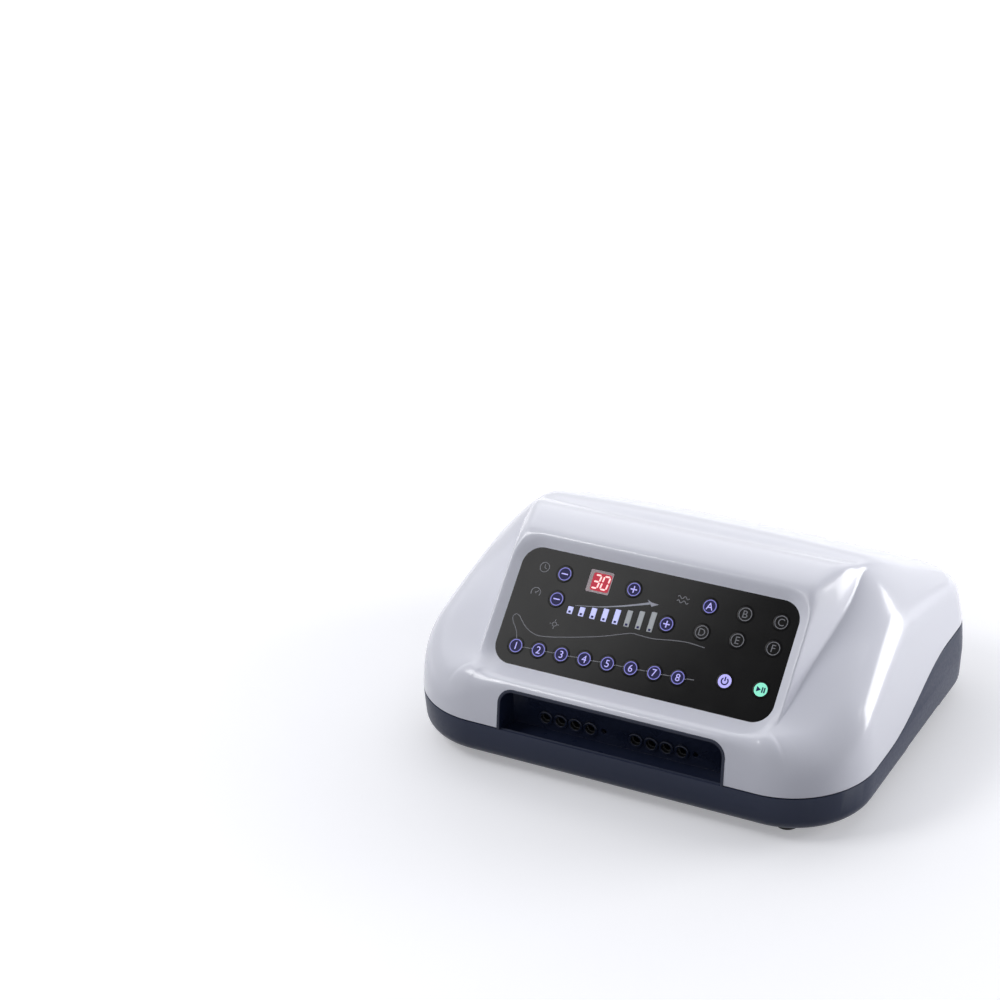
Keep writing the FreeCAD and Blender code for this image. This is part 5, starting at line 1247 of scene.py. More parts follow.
class Mould:
    """Gathers points and faces in millimetres until they make one piece."""

    def __init__(self) -> None:
        """Starts with nothing in it."""
        self.points: list[np.ndarray] = []
        self.faces: list[tuple[int, ...]] = []
        self.count = 0

    def add(self, form: tuple[np.ndarray, list], place: Matrix | None = None) -> "Mould":
        """Adds one closed form.

        Args:
            form: Its points and faces.
            place: Where it goes, or none to leave it.

        Returns:
            The mould itself.
        """
        rows, faces = np.asarray(form[0], float), form[1]
        if place is not None:
            grid = np.array(place)
            rows = rows @ grid[:3, :3].T + grid[:3, 3]
        self.faces += [tuple(at + self.count for at in face) for face in faces]
        self.points.append(rows)
        self.count += len(rows)
        return self

    def piece(self, name: str, finish: Finish, sharp: float = 35.0) -> bpy.types.Object:
        """Makes the gathered forms one mesh object.

        Args:
            name: The piece's name.
            finish: The finish it gets.
            sharp: Angle in degrees past which an edge stays sharp.

        Returns:
            The object.
        """
        made = face_outward(new_piece(name, np.concatenate(self.points), self.faces, finish))
        made.data.set_sharp_from_angle(angle=math.radians(sharp))
        return made


def turned(profile: list[tuple[float, float]], steps: int = 48, ring: bool = False) -> tuple:
    """Spins a profile round Z.

    Args:
        profile: Rows of radius and height.
        steps: How many points in a turn.
        ring: Whether the profile closes on itself, as a ring's does.

    Returns:
        Points and faces of a closed form.
    """
    turns = np.linspace(0, 2 * math.pi, steps, endpoint=False)
    points = [(radius * math.cos(turn), radius * math.sin(turn), height)
              for radius, height in profile for turn in turns]
    return np.array(points), closed_faces(len(profile), steps, ring)


def closed_faces(rows: int, columns: int, ring: bool) -> list[tuple[int, ...]]:
    """Faces of a closed grid of rings.

    Args:
        rows: How many rings.
        columns: How many points in a ring.
        ring: Whether the last ring joins the first, and else both ends get a cap.

    Returns:
        The faces.
    """
    faces: list[tuple[int, ...]] = list(loop_faces(rows, columns))
    last = (rows - 1) * columns
    if not ring:
        return faces + [tuple(range(columns)), tuple(range(last, last + columns))]
    for at in range(columns):
        ahead = (at + 1) % columns
        faces.append((last + at, last + ahead, ahead, at))
    return faces


def bend(middle: tuple[float, float], radius: float, start: float, end: float, steps: int = 5) -> list:
    """Points of a rounding in a profile.

    Args:
        middle: Its middle.
        radius: Its radius.
        start: First angle in degrees.
        end: Last angle in degrees.
        steps: How many points.

    Returns:
        Rows of two numbers.
    """
    turns = np.radians(np.linspace(start, end, steps))
    return [(middle[0] + radius * math.cos(turn), middle[1] + radius * math.sin(turn)) for turn in turns]


def pad(width: float, length: float, radius: float, levels: list[tuple[float, float]]) -> tuple:
    """A block with rounded corners, built of outlines one above the other.

    Args:
        width: Size across.
        length: Size along.
        radius: Radius of the corners.
        levels: Rows of height and of the inset of the outline there.

    Returns:
        Points and faces of a closed form.
    """
    points = []
    for height, inset in levels:
        turn_radius = max(radius - inset, 0.02)
        half_x, half_y = width / 2 - inset - turn_radius, length / 2 - inset - turn_radius
        for corner, (side_x, side_y) in enumerate(((1, 1), (-1, 1), (-1, -1), (1, -1))):
            middle, start = (side_x * half_x, side_y * half_y), 90 * corner
            points += [(x, y, height) for x, y in bend(middle, turn_radius, start, start + 90, 6)]
    return np.array(points), closed_faces(len(levels), 24, False)


def plate(outline: np.ndarray | list, low: float, high: float) -> tuple:
    """A flat plate with a free outline.

    Args:
        outline: Rows of x and y.
        low: Its underside.
        high: Its top.

    Returns:
        Points and faces of a closed form.
    """
    flat = np.asarray(outline, float)
    points = [(x, y, level) for level in (low, high) for x, y in flat]
    return np.array(points), closed_faces(2, len(flat), False)


def line(path: np.ndarray | list, width: float | np.ndarray, high: float, closed: bool = False) -> tuple:
    """A printed line with some thickness.

    Args:
        path: Rows of x and y.
        width: Its width, or one width for each row.
        high: Its thickness.
        closed: Whether it ends where it starts.

    Returns:
        Points and faces of a closed form.
    """
    rows = np.asarray(path, float)
    way = (np.roll(rows, -1, 0) - np.roll(rows, 1, 0)) if closed else np.gradient(rows, axis=0)
    way = way / np.linalg.norm(way, axis=1)[:, None]
    half = np.broadcast_to(np.asarray(width, float), (len(rows),))[:, None] / 2
    side = np.stack([-way[:, 1], way[:, 0]], axis=1) * half
    points = [(*place, level) for left, right in zip(rows + side, rows - side)
              for place, level in ((left, 0.0), (right, 0.0), (right, high), (left, high))]
    return np.array(points), closed_faces(len(rows), 4, closed)


def flowing(points: list[tuple[float, float]], steps: int = 8) -> np.ndarray:
    """A smooth path through points.

    Args:
        points: Rows of x and y.
        steps: How many steps from one to the next.

    Returns:
        Rows of x and y.
    """
    rows = np.asarray(points, float)
    padded = np.vstack([2 * rows[0] - rows[1], rows, 2 * rows[-1] - rows[-2]])
    path = []
    for at in range(1, len(padded) - 2):
        before, start, end, after = padded[at - 1:at + 3]
        for t in np.linspace(0, 1, steps, endpoint=False):
            square = (2 * before - 5 * start + 4 * end - after) * t ** 2
            cube = (3 * start - before - 3 * end + after) * t ** 3
            path.append(0.5 * (2 * start + (end - before) * t + square + cube))
    return np.array(path + [rows[-1]])


def lettered(sign: str, tall: float, high: float) -> tuple:
    """A plain character as a thin raised form, centred on its place.

    Args:
        sign: The character.
        tall: Its height on the face.
        high: Its thickness.

    Returns:
        Points in millimetres and faces.
    """
    curve = bpy.data.curves.new("sign", "FONT")
    curve.body = sign
    curve.resolution_u = 5
    curve.extrude = 0.5
    holder = bpy.data.objects.new("sign", curve)
    bpy.context.collection.objects.link(holder)
    graph = bpy.context.evaluated_depsgraph_get()
    mesh = bpy.data.meshes.new_from_object(holder.evaluated_get(graph))
    work = bmesh.new()
    work.from_mesh(mesh)
    bmesh.ops.remove_doubles(work, verts=work.verts, dist=1e-5)
    work.verts.index_update()
    points = np.array([tuple(vert.co) for vert in work.verts])
    faces = [tuple(vert.index for vert in face.verts) for face in work.faces]
    work.free()
    bpy.data.meshes.remove(mesh)
    bpy.data.objects.remove(holder)
    bpy.data.curves.remove(curve)
    low, top = points.min(axis=0), points.max(axis=0)
    points -= (low + top) / 2
    points *= (tall / (top[1] - low[1]), tall / (top[1] - low[1]), high)
    points[:, 2] += high / 2
    return points, faces


# ---------------------------------------------------------------- sets of equal items


class SetOut:
    """Geometry Nodes that copy one item to many places and make them one mesh."""

    def __init__(self) -> None:
        """Builds the tree with its named inputs."""
        self.tree = bpy.data.node_groups.new("set_out", "GeometryNodeTree")
        self.tree.is_modifier = True
        face = self.tree.interface
        face.new_socket("Places", in_out="INPUT", socket_type="NodeSocketGeometry")
        kinds = (("Item", "NodeSocketObject"), ("Turn", "NodeSocketVector"), ("Step", "NodeSocketVector"),
                 ("Finish", "NodeSocketMaterial"))
        self.inputs = {name: face.new_socket(name, in_out="INPUT", socket_type=kind).identifier
                       for name, kind in kinds}
        face.new_socket("Set", in_out="OUTPUT", socket_type="NodeSocketGeometry")
        entry = add_node(self.tree, "NodeGroupInput")
        dots = add_node(self.tree, "GeometryNodeMeshToPoints", {"Mesh": entry.outputs["Places"]})
        item = add_node(self.tree, "GeometryNodeObjectInfo", {"Object": entry.outputs["Item"]},
                        transform_space="ORIGINAL")
        number = add_node(self.tree, "GeometryNodeInputIndex")
        twist = add_node(self.tree, "ShaderNodeVectorMath", {
            0: entry.outputs["Step"], "Scale": number.outputs[0]}, operation="SCALE")
        turn = add_node(self.tree, "ShaderNodeVectorMath", {
            0: entry.outputs["Turn"], 1: twist.outputs[0]}, operation="ADD")
        copies = add_node(self.tree, "GeometryNodeInstanceOnPoints", {
            "Points": dots.outputs[0], "Instance": item.outputs["Geometry"], "Rotation": turn.outputs[0]})
        whole = add_node(self.tree, "GeometryNodeRealizeInstances", {0: copies.outputs[0]})
        coated = add_node(self.tree, "GeometryNodeSetMaterial", {
            "Geometry": whole.outputs[0], "Material": entry.outputs["Finish"]})
        add_node(self.tree, "NodeGroupOutput", {0: coated.outputs[0]})

    def make(self, name: str, item: bpy.types.Object, spots: list, finish: Finish,
             turn: tuple[float, float, float] = (0, 0, 0),
             step: tuple[float, float, float] = (0, 0, 0)) -> bpy.types.Object:
        """Copies an item to its places and deletes the item.

        Args:
            name: The piece's name.
            item: The item, around the origin.
            spots: Places in millimetres.
            finish: The finish it gets.
            turn: Turn of every copy, in degrees about x, y and z.
            step: Further turn from one copy to the next, in degrees.

        Returns:
            One plain mesh object.
        """
        made = new_piece(name, spots, [], finish)
        values = {"Item": item, "Turn": [math.radians(angle) for angle in turn],
                  "Step": [math.radians(angle) for angle in step], "Finish": finish_of(finish)}
        tool = made.modifiers.new("set_out", "NODES")
        tool.node_group = self.tree
        for key, value in values.items():
            tool[self.inputs[key]] = value
        baked(made)
        made.data.set_sharp_from_angle(angle=SHARP_EDGE)
        bpy.data.objects.remove(item)
        return made


# ---------------------------------------------------------------- key panel


class Light(Enum):
    """How a key is lit."""

    DARK = "unlit"
    BLUE = "blue ring"
    LILAC = "filled lilac"
    MINT = "filled mint"


@dataclass(frozen=True)
class Key:
    """One key of the panel: its node, its sign, its place and its light."""

    node: str
    sign: str
    x: float
    up: float
    light: Light


@dataclass
class KeyPanel:
    """What the key panel carries: keys with signs, window with digits, bars and printed lines."""

    casing: Casing = CASING
    key_radius: float = 6.0
    rim: float = 0.8
    sheet: float = 2.0
    slack: float = 0.1
    board_depth: float = 9.0
    switch_top: float = 4.9
    ring_radius: float = 4.35
    ring_width: float = 0.6
    print_high: float = 0.06
    sign_tall: float = 5.0
    mode_column: float = 39.1
    mode_pitch: float = 25.5
    upper_row: float = 69.0
    middle_row: float = 50.8
    lower_row: float = 22.4
    minus_column: float = -68.7
    chamber_first: tuple[float, float] = (-86.9, 13.2)
    chamber_step: tuple[float, float] = (17.05, 0.62)
    window: tuple[float, float] = (-42.1, 68.8)
    window_size: tuple[float, float] = (17.3, 16.0)
    bar_first: tuple[float, float] = (-56.7, 42.9)
    bar_pitch: float = 8.5
    bar_width: float = 4.0
    bar_length: tuple[float, float] = (5.2, 1.28)
    bars_lit: int = 5

    SEGMENTS = {"3": "abgcd", "0": "abcdef"}
    LEG = [(-87.9, 18.2), (-90.3, 23.7), (-94.6, 29.2), (-95.6, 32.6), (-93.9, 34.6), (-91.2, 33.7),
           (-87.8, 30.4), (-82.9, 26.4), (-75.2, 23.6), (-65.6, 24.2), (-49.3, 27.6), (-30.7, 32.2),
           (-18.5, 36.2), (-8.6, 39.4), (-2.0, 39.3), (8.0, 39.2), (21.4, 41.1), (32.2, 41.9), (44.2, 41.0)]
    ARROW = [(-54.0, 49.4), (-37.4, 52.0), (-25.0, 55.0), (-12.9, 58.6), (-2.6, 62.0)]
    ARROW_HEAD = [(-5.0, 64.3), (-1.4, 62.9), (4.0, 62.5), (-0.6, 60.1), (-2.0, 61.4)]

    def keys(self) -> list[Key]:
        """Lists the keys.

        Returns:
            All twenty keys.
        """
        column, pitch = self.mode_column, self.mode_pitch
        keys = [
            Key("key_time_minus", "-", self.minus_column, self.upper_row, Light.BLUE),
            Key("key_time_plus", "+", -16.7, self.upper_row, Light.BLUE),
            Key("key_pressure_minus", "-", self.minus_column, self.middle_row, Light.BLUE),
            Key("key_pressure_plus", "+", 13.4, self.middle_row, Light.BLUE),
            Key("key_power", "power", column + pitch, self.lower_row, Light.LILAC),
            Key("key_start_pause", "start", column + 2 * pitch, self.lower_row, Light.MINT),
        ]
        for at, letter in enumerate("ABCDEF"):
            row = self.upper_row if at < 3 else self.middle_row
            light = Light.BLUE if letter == "A" else Light.DARK
            keys.append(Key(f"key_mode_{letter.lower()}", letter, column + at % 3 * pitch, row, light))
        for at in range(8):
            x = self.chamber_first[0] + at * self.chamber_step[0]
            up = self.chamber_first[1] + at * self.chamber_step[1]
            keys.append(Key(f"key_chamber_{at + 1}", str(at + 1), x, up, Light.BLUE))
        return keys

    def place(self, x: float = 0.0, up: float = 0.0, out: float = 0.0) -> Matrix:
        """Frame of a spot on the panel, with its third axis out of the face.

        Args:
            x: Place to the right.
            up: Place up the slope.
            out: Height above the face.

        Returns:
            The frame in millimetres.
        """
        spot = self.casing.on_panel(x, up, out)
        return Matrix.Translation(Vector(spot)) @ Matrix.Rotation(self.casing.tilt, 4, "X")

    def cap(self, key: Key) -> None:
        """Builds a key's cap with its rim and stem.

        Args:
            key: The key.
        """
        low = -self.sheet - self.slack - self.rim
        stem = -self.board_depth + self.switch_top
        radius, soft = self.key_radius, 0.3
        profile = [(0.02, stem), (2.0, stem), (2.0, low), (radius + self.rim, low),
                   (radius + self.rim, low + self.rim), (radius, low + self.rim)]
        profile += bend((radius - soft, -soft), soft, 0, 90) + [(radius - 1.2, 0.0), (0.02, 0.0)]
        form = Mould().add(turned(profile, 64), self.place(key.x, key.up))
        settle(form.piece(f"{key.node}_cap", PANEL_FILM), key.node, (key.node,))

    def sign(self, key: Key) -> tuple:
        """The sign on a key.

        Args:
            key: The key.

        Returns:
            Points and faces.
        """
        high, bar = self.print_high, 0.85
        if key.sign in "-+":
            forms = Mould().add(pad(4.8, bar, 0.3, [(0, 0), (high, 0)]))
            if key.sign == "+":
                for side in (1, -1):
                    step = Matrix.Translation((0, side * (bar / 2 + 0.99), 0))
                    forms.add(pad(bar, 1.975, 0.3, [(0, 0), (high, 0)]), step)
        elif key.sign == "power":
            arc = np.radians(np.linspace(125, 415, 30))
            forms = Mould().add(line(np.stack([2.3 * np.cos(arc), 2.3 * np.sin(arc)], axis=1), 0.95, high))
            forms.add(pad(0.95, 3.0, 0.2, [(0, 0), (high, 0)]), Matrix.Translation((0, 1.5, 0)))
        elif key.sign == "start":
            forms = Mould().add(plate([(-2.9, -1.9), (0.2, 0.0), (-2.9, 1.9)], 0, high))
            for x in (1.1, 2.6):
                forms.add(pad(0.95, 3.8, 0.1, [(0, 0), (high, 0)]), Matrix.Translation((x, 0, 0)))
        else:
            return lettered(key.sign, self.sign_tall, high)
        return np.concatenate(forms.points), forms.faces

    def print_key(self, key: Key) -> None:
        """Prints a key's disc, ring and sign.

        Args:
            key: The key.
        """
        inks = {
            Light.DARK: (None, INK_GREY, INK_GREY), Light.BLUE: (INK_INDIGO, INK_BLUE, INK_LILAC),
            Light.LILAC: (INK_LILAC, INK_LILAC, INK_DARK), Light.MINT: (INK_MINT, INK_MINT, INK_DARK),
        }
        disc, ring, sign = inks[key.light]
        thin, radius = self.print_high / 2, self.ring_radius
        forms = [("ring", ring, line(circle(radius, 56), self.ring_width, self.print_high, closed=True), 0.0),
                 ("sign", sign, self.sign(key), thin if disc else 0.0)]
        if disc:
            inner = radius - self.ring_width / 2 + 0.05
            profile = [(0.02, 0.0), (inner, 0.0), (inner, thin), (0.02, thin)]
            forms.append(("disc", disc, turned(profile, 56), 0.0))
        if key.node.startswith("key_chamber"):
            edge, end = radius + self.ring_width / 2, self.key_radius - 0.05
            for side in (-1, 1) if key.node != "key_chamber_1" else (1,):
                stub = line([(side * edge, 0.0), (side * end, 0.0)], 0.55, self.print_high)
                forms.append((f"stub_{'left' if side < 0 else 'right'}", INK_GREY, stub, 0.0))
        for part, ink, form, out in forms:
            made = Mould().add(form, self.place(key.x, key.up, out)).piece(f"{key.node}_{part}", ink)
            settle(made, key.node)

    def print_lines(self) -> None:
        """Prints the leg's outline, the line through the chamber keys, the arrow and the four symbols."""
        high = self.print_high
        leg = Mould().add(line(flowing(self.LEG), 0.55, high), self.place())
        spots = [(key.x, key.up) for key in self.keys() if key.node.startswith("key_chamber")]
        clear = self.key_radius + 0.3
        for start, end in zip(spots, spots[1:] + [(43.9, 18.4)]):
            way = np.subtract(end, start) / math.dist(start, end)
            last = np.asarray(end) - way * (clear if end in spots else 0)
            leg.add(line([np.asarray(start) + way * clear, last], 0.55, high), self.place())
        settle(leg.piece("printed_leg_line", INK_GREY), "housing")
        path = flowing(self.ARROW)
        arrow = Mould().add(line(path, np.linspace(0.25, 1.5, len(path)), high), self.place())
        arrow.add(plate(self.ARROW_HEAD, 0, high), self.place())
        settle(arrow.piece("printed_arrow", INK_PALE), "housing")
        settle(self.symbols().piece("printed_symbols", INK_GREY), "housing")

    def symbols(self) -> Mould:
        """Plain symbols beside the keys: a clock, a gauge, a target and a wave.

        Returns:
            The gathered forms.
        """
        high, wide = self.print_high, 0.6
        forms = Mould()
        clock, gauge, target, wave = (-84.6, 70.6), (-85.2, 52.2), (-64.5, 33.6), (19.5, 69.4)
        forms.add(line(circle(3.4, 40), wide, high, closed=True), self.place(*clock))
        forms.add(line([(0, 2.1), (0, 0), (1.6, -0.9)], wide, high), self.place(*clock))
        sweep = np.radians(np.linspace(210, -30, 30))
        forms.add(line(np.stack([3.4 * np.cos(sweep), 3.4 * np.sin(sweep)], axis=1), wide, high),
                  self.place(*gauge))
        forms.add(line([(0, 0), (1.9, 1.7)], wide, high), self.place(*gauge))
        forms.add(turned([(0.02, 0), (0.7, 0), (0.7, high), (0.02, high)], 20), self.place(*gauge))
        forms.add(line(circle(1.5, 30), wide, high, closed=True), self.place(*target))
        for x, y in ((1, 0), (-1, 0), (0, 1), (0, -1)):
            forms.add(line([(x * 2.2, y * 2.2), (x * 3.5, y * 3.5)], wide, high), self.place(*target))
        for row in (-1.5, 1.5):
            xs = np.linspace(-4.2, 4.2, 40)
            path = np.stack([xs, row + 0.9 * np.sin(xs * 1.5)], axis=1)
            forms.add(line(path, wide, high), self.place(*wave))
        return forms

    def show_window(self) -> None:
        """Builds the tinted window, its frame, its red glow and the two digits."""
        wide, long = self.window_size
        x, up = self.window
        spot = self.place(x, up)
        glass = Mould().add(pad(wide, long, 0.8, [(-self.sheet, 0), (-0.2, 0), (0.0, 0.15)]), spot)
        glass.add(pad(wide + 2, long + 2, 1.2, [(-self.sheet - 0.5, 0), (-self.sheet, 0)]), spot)
        settle(glass.piece("display_window", LENS), "housing", ("display_lens",))
        thin = 0.02
        border = pad(wide - 0.7, long - 0.7, 0.7, [(0, 0)])[0][:, :2]
        frame_line = Mould().add(line(border, 0.5, thin, closed=True), spot)
        settle(frame_line.piece("display_frame", WINDOW_FRAME), "housing")
        haze = pad(wide - 3.6, long - 3.4, 1.6, [(0, 0), (thin, 0)])
        glow = Mould().add(haze, self.place(x + 1.0, up - 0.2))
        settle(glow.piece("display_glow", LED_GLOW), "housing")
        digits = Mould()
        for sign, shift in (("3", -2.5), ("0", 4.1)):
            for name in self.SEGMENTS[sign]:
                digits.add(self.segment(name), self.place(x + shift, up - 0.1, thin))
        settle(digits.piece("display_digits", LED_RED), "housing")

    def segment(self, name: str) -> tuple:
        """One bar of a digit, as a slanted six-sided plate.

        Args:
            name: Its letter from a at the top round to g in the middle.

        Returns:
            Points and faces.
        """
        wide, tall, thick, gap, slant = 4.3, 9.2, 1.15, 0.25, 0.1
        ends = {
            "a": ((0, tall), (wide, tall)), "b": ((wide, tall), (wide, tall / 2)),
            "c": ((wide, tall / 2), (wide, 0)), "d": ((0, 0), (wide, 0)), "e": ((0, tall / 2), (0, 0)),
            "f": ((0, tall), (0, tall / 2)), "g": ((0, tall / 2), (wide, tall / 2)),
        }[name]
        start, end = np.array(ends[0], float), np.array(ends[1], float)
        way = (end - start) / np.linalg.norm(end - start)
        side = np.array([-way[1], way[0]]) * thick / 2
        start, end = start + way * gap, end - way * gap
        inner = way * thick / 2
        outline = np.array([start, start + inner + side, end - inner + side, end, end - inner - side,
                            start + inner - side]) - (wide / 2, tall / 2)
        outline[:, 0] += slant * outline[:, 1]
        return plate(outline, 0, 0.03)

    def show_bars(self) -> None:
        """Builds the lit and the unlit pressure bars and the dark mark on each."""
        marks = Mould()
        groups = (("pressure_bars_lit", BAR_LIT, range(self.bars_lit), ("pressure_bars",)),
                  ("pressure_bars_unlit", BAR_UNLIT, range(self.bars_lit, 8), ()))
        for name, finish, numbers, nodes in groups:
            forms = Mould()
            for at in numbers:
                length = self.bar_length[0] + at * self.bar_length[1]
                x, foot = self.bar_first[0] + at * self.bar_pitch, self.bar_first[1]
                levels = [(-self.board_depth, 0), (-0.2, 0), (0.02, 0.2)]
                forms.add(pad(self.bar_width, length, 0.4, levels), self.place(x, foot + length / 2))
                marks.add(pad(1.8, 1.5, 0.2, [(0, 0), (0.03, 0)]), self.place(x, foot + 1.5, 0.02))
            settle(forms.piece(name, finish), "housing", nodes)
        settle(marks.piece("pressure_bar_marks", INK_DARK), "housing")

    def dress(self) -> None:
        """Builds the panel and everything on it."""
        for key in self.keys():
            self.cap(key)
            self.print_key(key)
        self.print_lines()
        self.show_window()
        self.show_bars()


def circle(radius: float, steps: int) -> np.ndarray:
    """Points round a circle.

    Args:
        radius: Its radius.
        steps: How many points.

    Returns:
        Rows of x and y.
    """
    turns = np.linspace(0, 2 * math.pi, steps, endpoint=False)
    return np.stack([radius * np.cos(turns), radius * np.sin(turns)], axis=1)


# ---------------------------------------------------------------- tray, feet and screws


@dataclass
class Screws:
    """Pan-head screws with a cross recess."""

    sets: SetOut
    head: float = 2.9
    rise: float = 2.2
    cross_arm: float = 1.6
    cross_half: float = 0.36
    cross_depth: float = 1.1

    def item(self, shank: float) -> bpy.types.Object:
        """One screw with its seat at the origin and its head up.

        Args:
            shank: Length of the shank below the head.

        Returns:
            The screw.
        """
        profile = [(0.02, -shank), (1.0, -shank), (1.3, -shank + 0.5), (1.3, 0.0), (self.head, 0.0),
                   (self.head, self.rise * 0.45)]
        profile += bend((self.head - 1.2, self.rise - 1.2), 1.2, 10, 90, 6)
        profile += [(0.02, self.rise + 0.05)]
        made = Mould().add(turned(profile, 32)).piece("screw", SCREW_STEEL)
        cross = Mould()
        arm, half = self.cross_arm, self.cross_half
        outline = [(-arm, -half), (-half, -half), (-half, -arm), (half, -arm), (half, -half), (arm, -half),
                   (arm, half), (half, half), (half, arm), (-half, arm), (-half, half), (-arm, half)]
        cross.add(plate(outline, self.rise - self.cross_depth, self.rise + 1))
        return carve(made, cross.piece("cross", SCREW_STEEL))

    def dress(self) -> None:
        """Puts the screws in the places of their nodes."""
        feet = [(a * FOOT_X, b * FOOT_Y, FOOT_SEAT) for a in (-1, 1) for b in (-1, 1)]
        cover = [(a * 138.0, b, 13.8) for a in (-1, 1) for b in (-84.0, 92.0)]
        inlet = [(-84.0 + a * 20.0, 126.2, 35.0) for a in (-1, 1)]
        rows = (("foot_screws", feet, 11.0, (180, 0, 0)), ("cover_screws", cover, 27.0, (180, 0, 0)),
                ("inlet_screws", inlet, 8.0, (-90, 0, 0)))
        for node, spots, shank, turn in rows:
            made = self.sets.make(f"{node}_set", self.item(shank), spots, SCREW_STEEL, turn, (0, 0, 37))
            settle(made, "housing", (node,))


@dataclass
class Feet:
    """Four rubber feet: a soft-edged ring with a groove and a hollow for its screw."""

    sets: SetOut
    radius: float = 8.7
    height: float = 7.8
    hollow: float = 3.5

    def dress(self) -> None:
        """Builds the feet in the place of their node."""
        radius, tall = self.radius, self.height
        profile = [(self.hollow, FOOT_SEAT), (1.7, FOOT_SEAT), (1.7, tall), (radius, tall),
                   (radius, tall - 1.0)]
        profile += bend((radius + 0.1, tall - 1.9), 0.55, 100, 260, 7)
        profile += bend((radius - 2.3, 1.6), 1.6, 0, -90, 7)
        profile += bend((self.hollow + 0.6, 0.6), 0.6, 270, 180, 5)
        item = Mould().add(turned(profile, 56, ring=True)).piece("foot", RUBBER, sharp=50)
        spots = [(a * FOOT_X, b * FOOT_Y, 0.0) for a in (-1, 1) for b in (-1, 1)]
        settle(self.sets.make("feet", item, spots, RUBBER), "housing", ("rubber_feet",))


@dataclass
class Tray:
    """Navy tray with its grips, vent slots and the pocket of the mains inlet."""

    edge: float = 0.45

    def dress(self) -> None:
        """Rounds the edges of the tray."""
        settle(softened("base_tray", NAVY_ABS, self.edge), "housing", ("base_tray",))


@dataclass
class HoseBay:
    """Hose bay: the insert in painted-shade navy and two sockets with a collar and a seal round each port."""

    sets: SetOut
    back: float = -106.8
    height: float = 38.8
    pitch: float = 11.2
    firsts: tuple[float, float] = (-56.6, 10.6)
    bore: float = 3.5
    wall: float = 1.2

    def dress(self) -> None:
        """Builds the insert, the sockets, the collars and the seals."""
        # The insert and the collars take the navy drawn darker as painted shade.
        settle(softened("socket_bay", BAY_ABS_SHADED, 0.35), "housing", ("socket_bay",))
        for side, first in zip(("left", "right"), self.firsts):
            node = f"{side}_hose_socket"
            settle(softened(node, NYLON, 0.2), "housing", (node,))
            spots = [(first + at * self.pitch, self.back, self.height) for at in range(4)]
            outer, inner = self.bore + self.wall + 0.5, self.bore + 0.04
            profile = [(inner, -0.4), (inner, 1.1)] + bend((inner + 0.45, 1.1), 0.45, 180, 90, 4)
            profile += bend((outer - 0.6, 0.9), 0.6, 90, 0, 5)
            profile += [(outer, 0.02), (self.bore + self.wall, 0.02), (self.bore + self.wall, -0.4)]
            item = Mould().add(turned(profile, 48, ring=True)).piece("collar", BAY_ABS_SHADED)
            collars = self.sets.make(f"{side}_port_collars", item, spots, BAY_ABS_SHADED, (90, 0, 0))
            settle(collars, "housing")
            ring = Mould().add(turned(bend((self.bore - 0.15, 0.0), 0.45, 0, 340, 12), 40, ring=True))
            spots = [(x, self.back + 1.8, z) for x, _, z in spots]
            item = ring.piece("seal", RUBBER)
            seals = self.sets.make(f"{side}_port_seals", item, spots, RUBBER, (90, 0, 0))
            settle(seals, "housing")


@dataclass
class RearFittings:
    """Mains inlet with its pins and fuse drawer, and the fan behind the vent."""

    def dress(self) -> None:
        """Rounds the edges of the rear fittings."""
        for node, finish, edge, slot in (
                ("mains_inlet", NYLON, 0.35, "inlet_black"), ("inlet_pins", BRASS, 0.25, "pin_brass"),
                ("fan_frame", NYLON, 0.3, "fan_black")):
            settle(softened(node, finish, edge), "housing", (node,))
        settle(softened("fuse_drawer", NYLON, 0.25), "fuse_drawer", ("fuse_drawer",))


# ---------------------------------------------------------------- studio


def seen_rays(tree: bpy.types.NodeTree) -> bpy.types.NodeSocket:
    """Tells rays that see a surface directly or in a gloss from those that light the object.

    Args:
        tree: The nodes of the floor or of the world.

    Returns:
        1 for camera, glossy and transmission rays, and else 0.
    """
    rays = add_node(tree, "ShaderNodeLightPath")
    direct = add_node(tree, "ShaderNodeMath", {
        0: rays.outputs["Is Camera Ray"], 1: rays.outputs["Is Glossy Ray"]}, operation="ADD")
    seen = add_node(tree, "ShaderNodeMath", {
        0: direct.outputs[0], 1: rays.outputs["Is Transmission Ray"]}, operation="ADD", use_clamp=True)
    return seen.outputs[0]


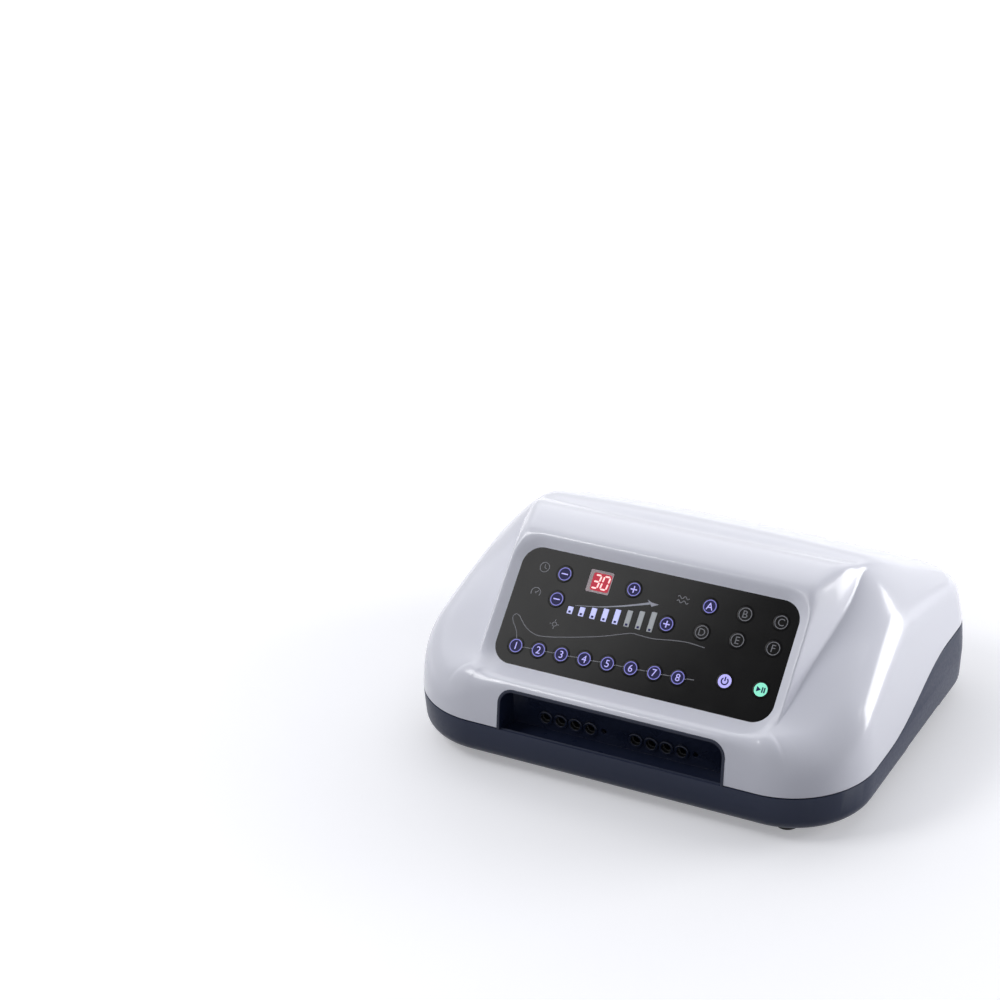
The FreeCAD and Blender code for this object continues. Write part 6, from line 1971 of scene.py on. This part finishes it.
@dataclass
class Studio:
    """Plain floor, soft lamps and the camera."""

    floor_half: float = 7.0
    bounce: float = 0.45
    lift_start: float = 0.2
    lift_end: float = 1.3
    lift_near: float = 0.38
    surround: float = 0.29
    camera_place: tuple[float, float, float] = (0.6888, -1.4396, 1.0)
    azimuth: float = 30.1
    elevation: float = 27.5
    roll: float = -3.0
    lens: float = 96.24

    # Each lamp's name, place and side in metres, and its power in watts. All point at the pump's middle.
    AIM = (0.0, 0.0, 0.06)
    LAMPS = (
        ("rear_sky", (-0.45, 1.8, 2.1), 3.4, 31), ("overhead", (-1.35, 0.2, 1.45), 1.5, 5),
        ("key", (-0.93, -0.75, 1.35), 0.62, 8.4), ("side", (1.5, 1.05, 0.45), 0.9, 20),
        ("strip", (1.35, 0.32, 0.92), 0.24, 0.45),
    )

    def floor(self) -> None:
        """Lays a pale floor that shows white where no shadow falls."""
        half = self.floor_half / MM
        corners = [(-half, -half, 0), (half, -half, 0), (half, half, 0), (-half, half, 0)]
        paint = Finish("matt_floor_paint", "#e9e9eb", "#e7e7ea", Surface.SPARKED, 0.9, specular=0.1,
                       grain=3.0, relief=0.02, mottle=900.0)
        floor = new_piece("floor", corners, [(0, 1, 2, 3)], paint)
        tree = finish_of(paint).node_tree
        shader = next(node for node in tree.nodes if node.type == "BSDF_PRINCIPLED")
        seen = seen_rays(tree)
        place = add_node(tree, "ShaderNodeTexCoord").outputs["Object"]
        away = add_node(tree, "ShaderNodeVectorMath", {0: place}, operation="LENGTH")
        glow = add_node(tree, "ShaderNodeMapRange", {
            "Value": away.outputs["Value"], "From Min": self.lift_start, "From Max": self.lift_end,
            "To Min": self.lift_near, "To Max": 1.0})
        lift = add_node(tree, "ShaderNodeMath", {0: seen, 1: glow.outputs[0]}, operation="MULTIPLY")
        tree.links.new(lift.outputs[0], shader.inputs["Emission Strength"])
        share = add_node(tree, "ShaderNodeMapRange", {"Value": seen, "To Min": self.bounce})
        paint_tone = shader.inputs["Base Color"].links[0].from_socket
        tint = add_node(tree, "ShaderNodeVectorMath", {
            0: paint_tone, "Scale": share.outputs[0]}, operation="SCALE")
        tree.links.new(tint.outputs[0], shader.inputs["Base Color"])
        shader.inputs["Emission Color"].default_value = (1, 1, 1, 1)

    def world(self) -> None:
        """Sets an even surround, white where it is seen directly."""
        world = bpy.data.worlds.new("surround")
        bpy.context.scene.world = world
        world.use_nodes = True
        tree = world.node_tree
        tree.nodes.clear()
        seen = seen_rays(tree)
        lit = add_node(tree, "ShaderNodeBackground", {
            "Color": linear("#dfe3ee"), "Strength": self.surround})
        plain = add_node(tree, "ShaderNodeBackground", {"Color": (1, 1, 1, 1), "Strength": 1.0})
        mixed = add_node(tree, "ShaderNodeMixShader", {
            0: seen, 1: lit.outputs[0], 2: plain.outputs[0]})
        add_node(tree, "ShaderNodeOutputWorld", {"Surface": mixed.outputs[0]})

    def lamp(self, name: str, place: tuple, aim: tuple, size: float, power: float) -> None:
        """Adds a soft square lamp.

        Args:
            name: The lamp's name.
            place: Where it hangs, in metres.
            aim: What it points at, in metres.
            size: Its side, in metres.
            power: Its power, in watts.
        """
        light = bpy.data.lights.new(name, "AREA")
        light.size = size
        light.energy = power
        made = bpy.data.objects.new(name, light)
        made.location = place
        way = Vector(aim) - Vector(place)
        made.rotation_euler = way.to_track_quat("-Z", "Y").to_euler()
        bpy.context.collection.objects.link(made)

    def camera(self) -> None:
        """Places the camera at its viewing angle."""
        turn, rise, roll = (math.radians(value) for value in (self.azimuth, self.elevation, self.roll))
        back = Vector((math.sin(turn) * math.cos(rise), -math.cos(turn) * math.cos(rise), math.sin(rise)))
        right = Vector((math.cos(turn), math.sin(turn), 0))
        up = back.cross(right)
        cosine, sine = math.cos(roll), math.sin(roll)
        right, up = cosine * right + sine * up, -sine * right + cosine * up
        data = bpy.data.cameras.new("camera")
        data.lens = self.lens
        data.clip_end = 50
        made = bpy.data.objects.new("camera", data)
        axes = Matrix((right, up, back)).transposed().to_4x4()
        made.matrix_world = Matrix.Translation(self.camera_place) @ axes
        bpy.context.collection.objects.link(made)
        bpy.context.scene.camera = made

    def build(self) -> None:
        """Sets up the whole studio."""
        bpy.context.scene.view_settings.view_transform = "Standard"
        self.floor()
        self.world()
        for name, place, size, power in self.LAMPS:
            self.lamp(name, place, self.AIM, size, power)
        self.camera()
        LOG.info("studio is set")


# ---------------------------------------------------------------- parts whose node keeps its shape


@dataclass
class Internals:
    """Pieces inside the casing, which keep their shape and get their real finish."""

    def dress(self) -> None:
        """Puts a finish on every node by its slot."""
        slots = {sub["node"]: sub["material_slot"] for sub in frame["record"]["subparts"]}
        for node, made in frame["nodes"].items():
            material = finish_of(SLOT_FINISHES[slots[node]])
            if not made.material_slots:
                made.data.materials.append(material)
            for place in made.material_slots:
                place.material = material
        LOG.info("%d nodes have a finish", len(frame["nodes"]))


def main() -> None:
    """Builds every sub-assembly in order and reports it."""
    logging.basicConfig(level=logging.INFO, format="%(message)s")
    Studio().build()
    Internals().dress()
    sets = SetOut()
    Cover().dress()
    Tray().dress()
    HoseBay(sets).dress()
    KeyPanel().dress()
    Feet(sets).dress()
    Screws(sets).dress()
    RearFittings().dress()


if __name__ == "__main__":
    main()
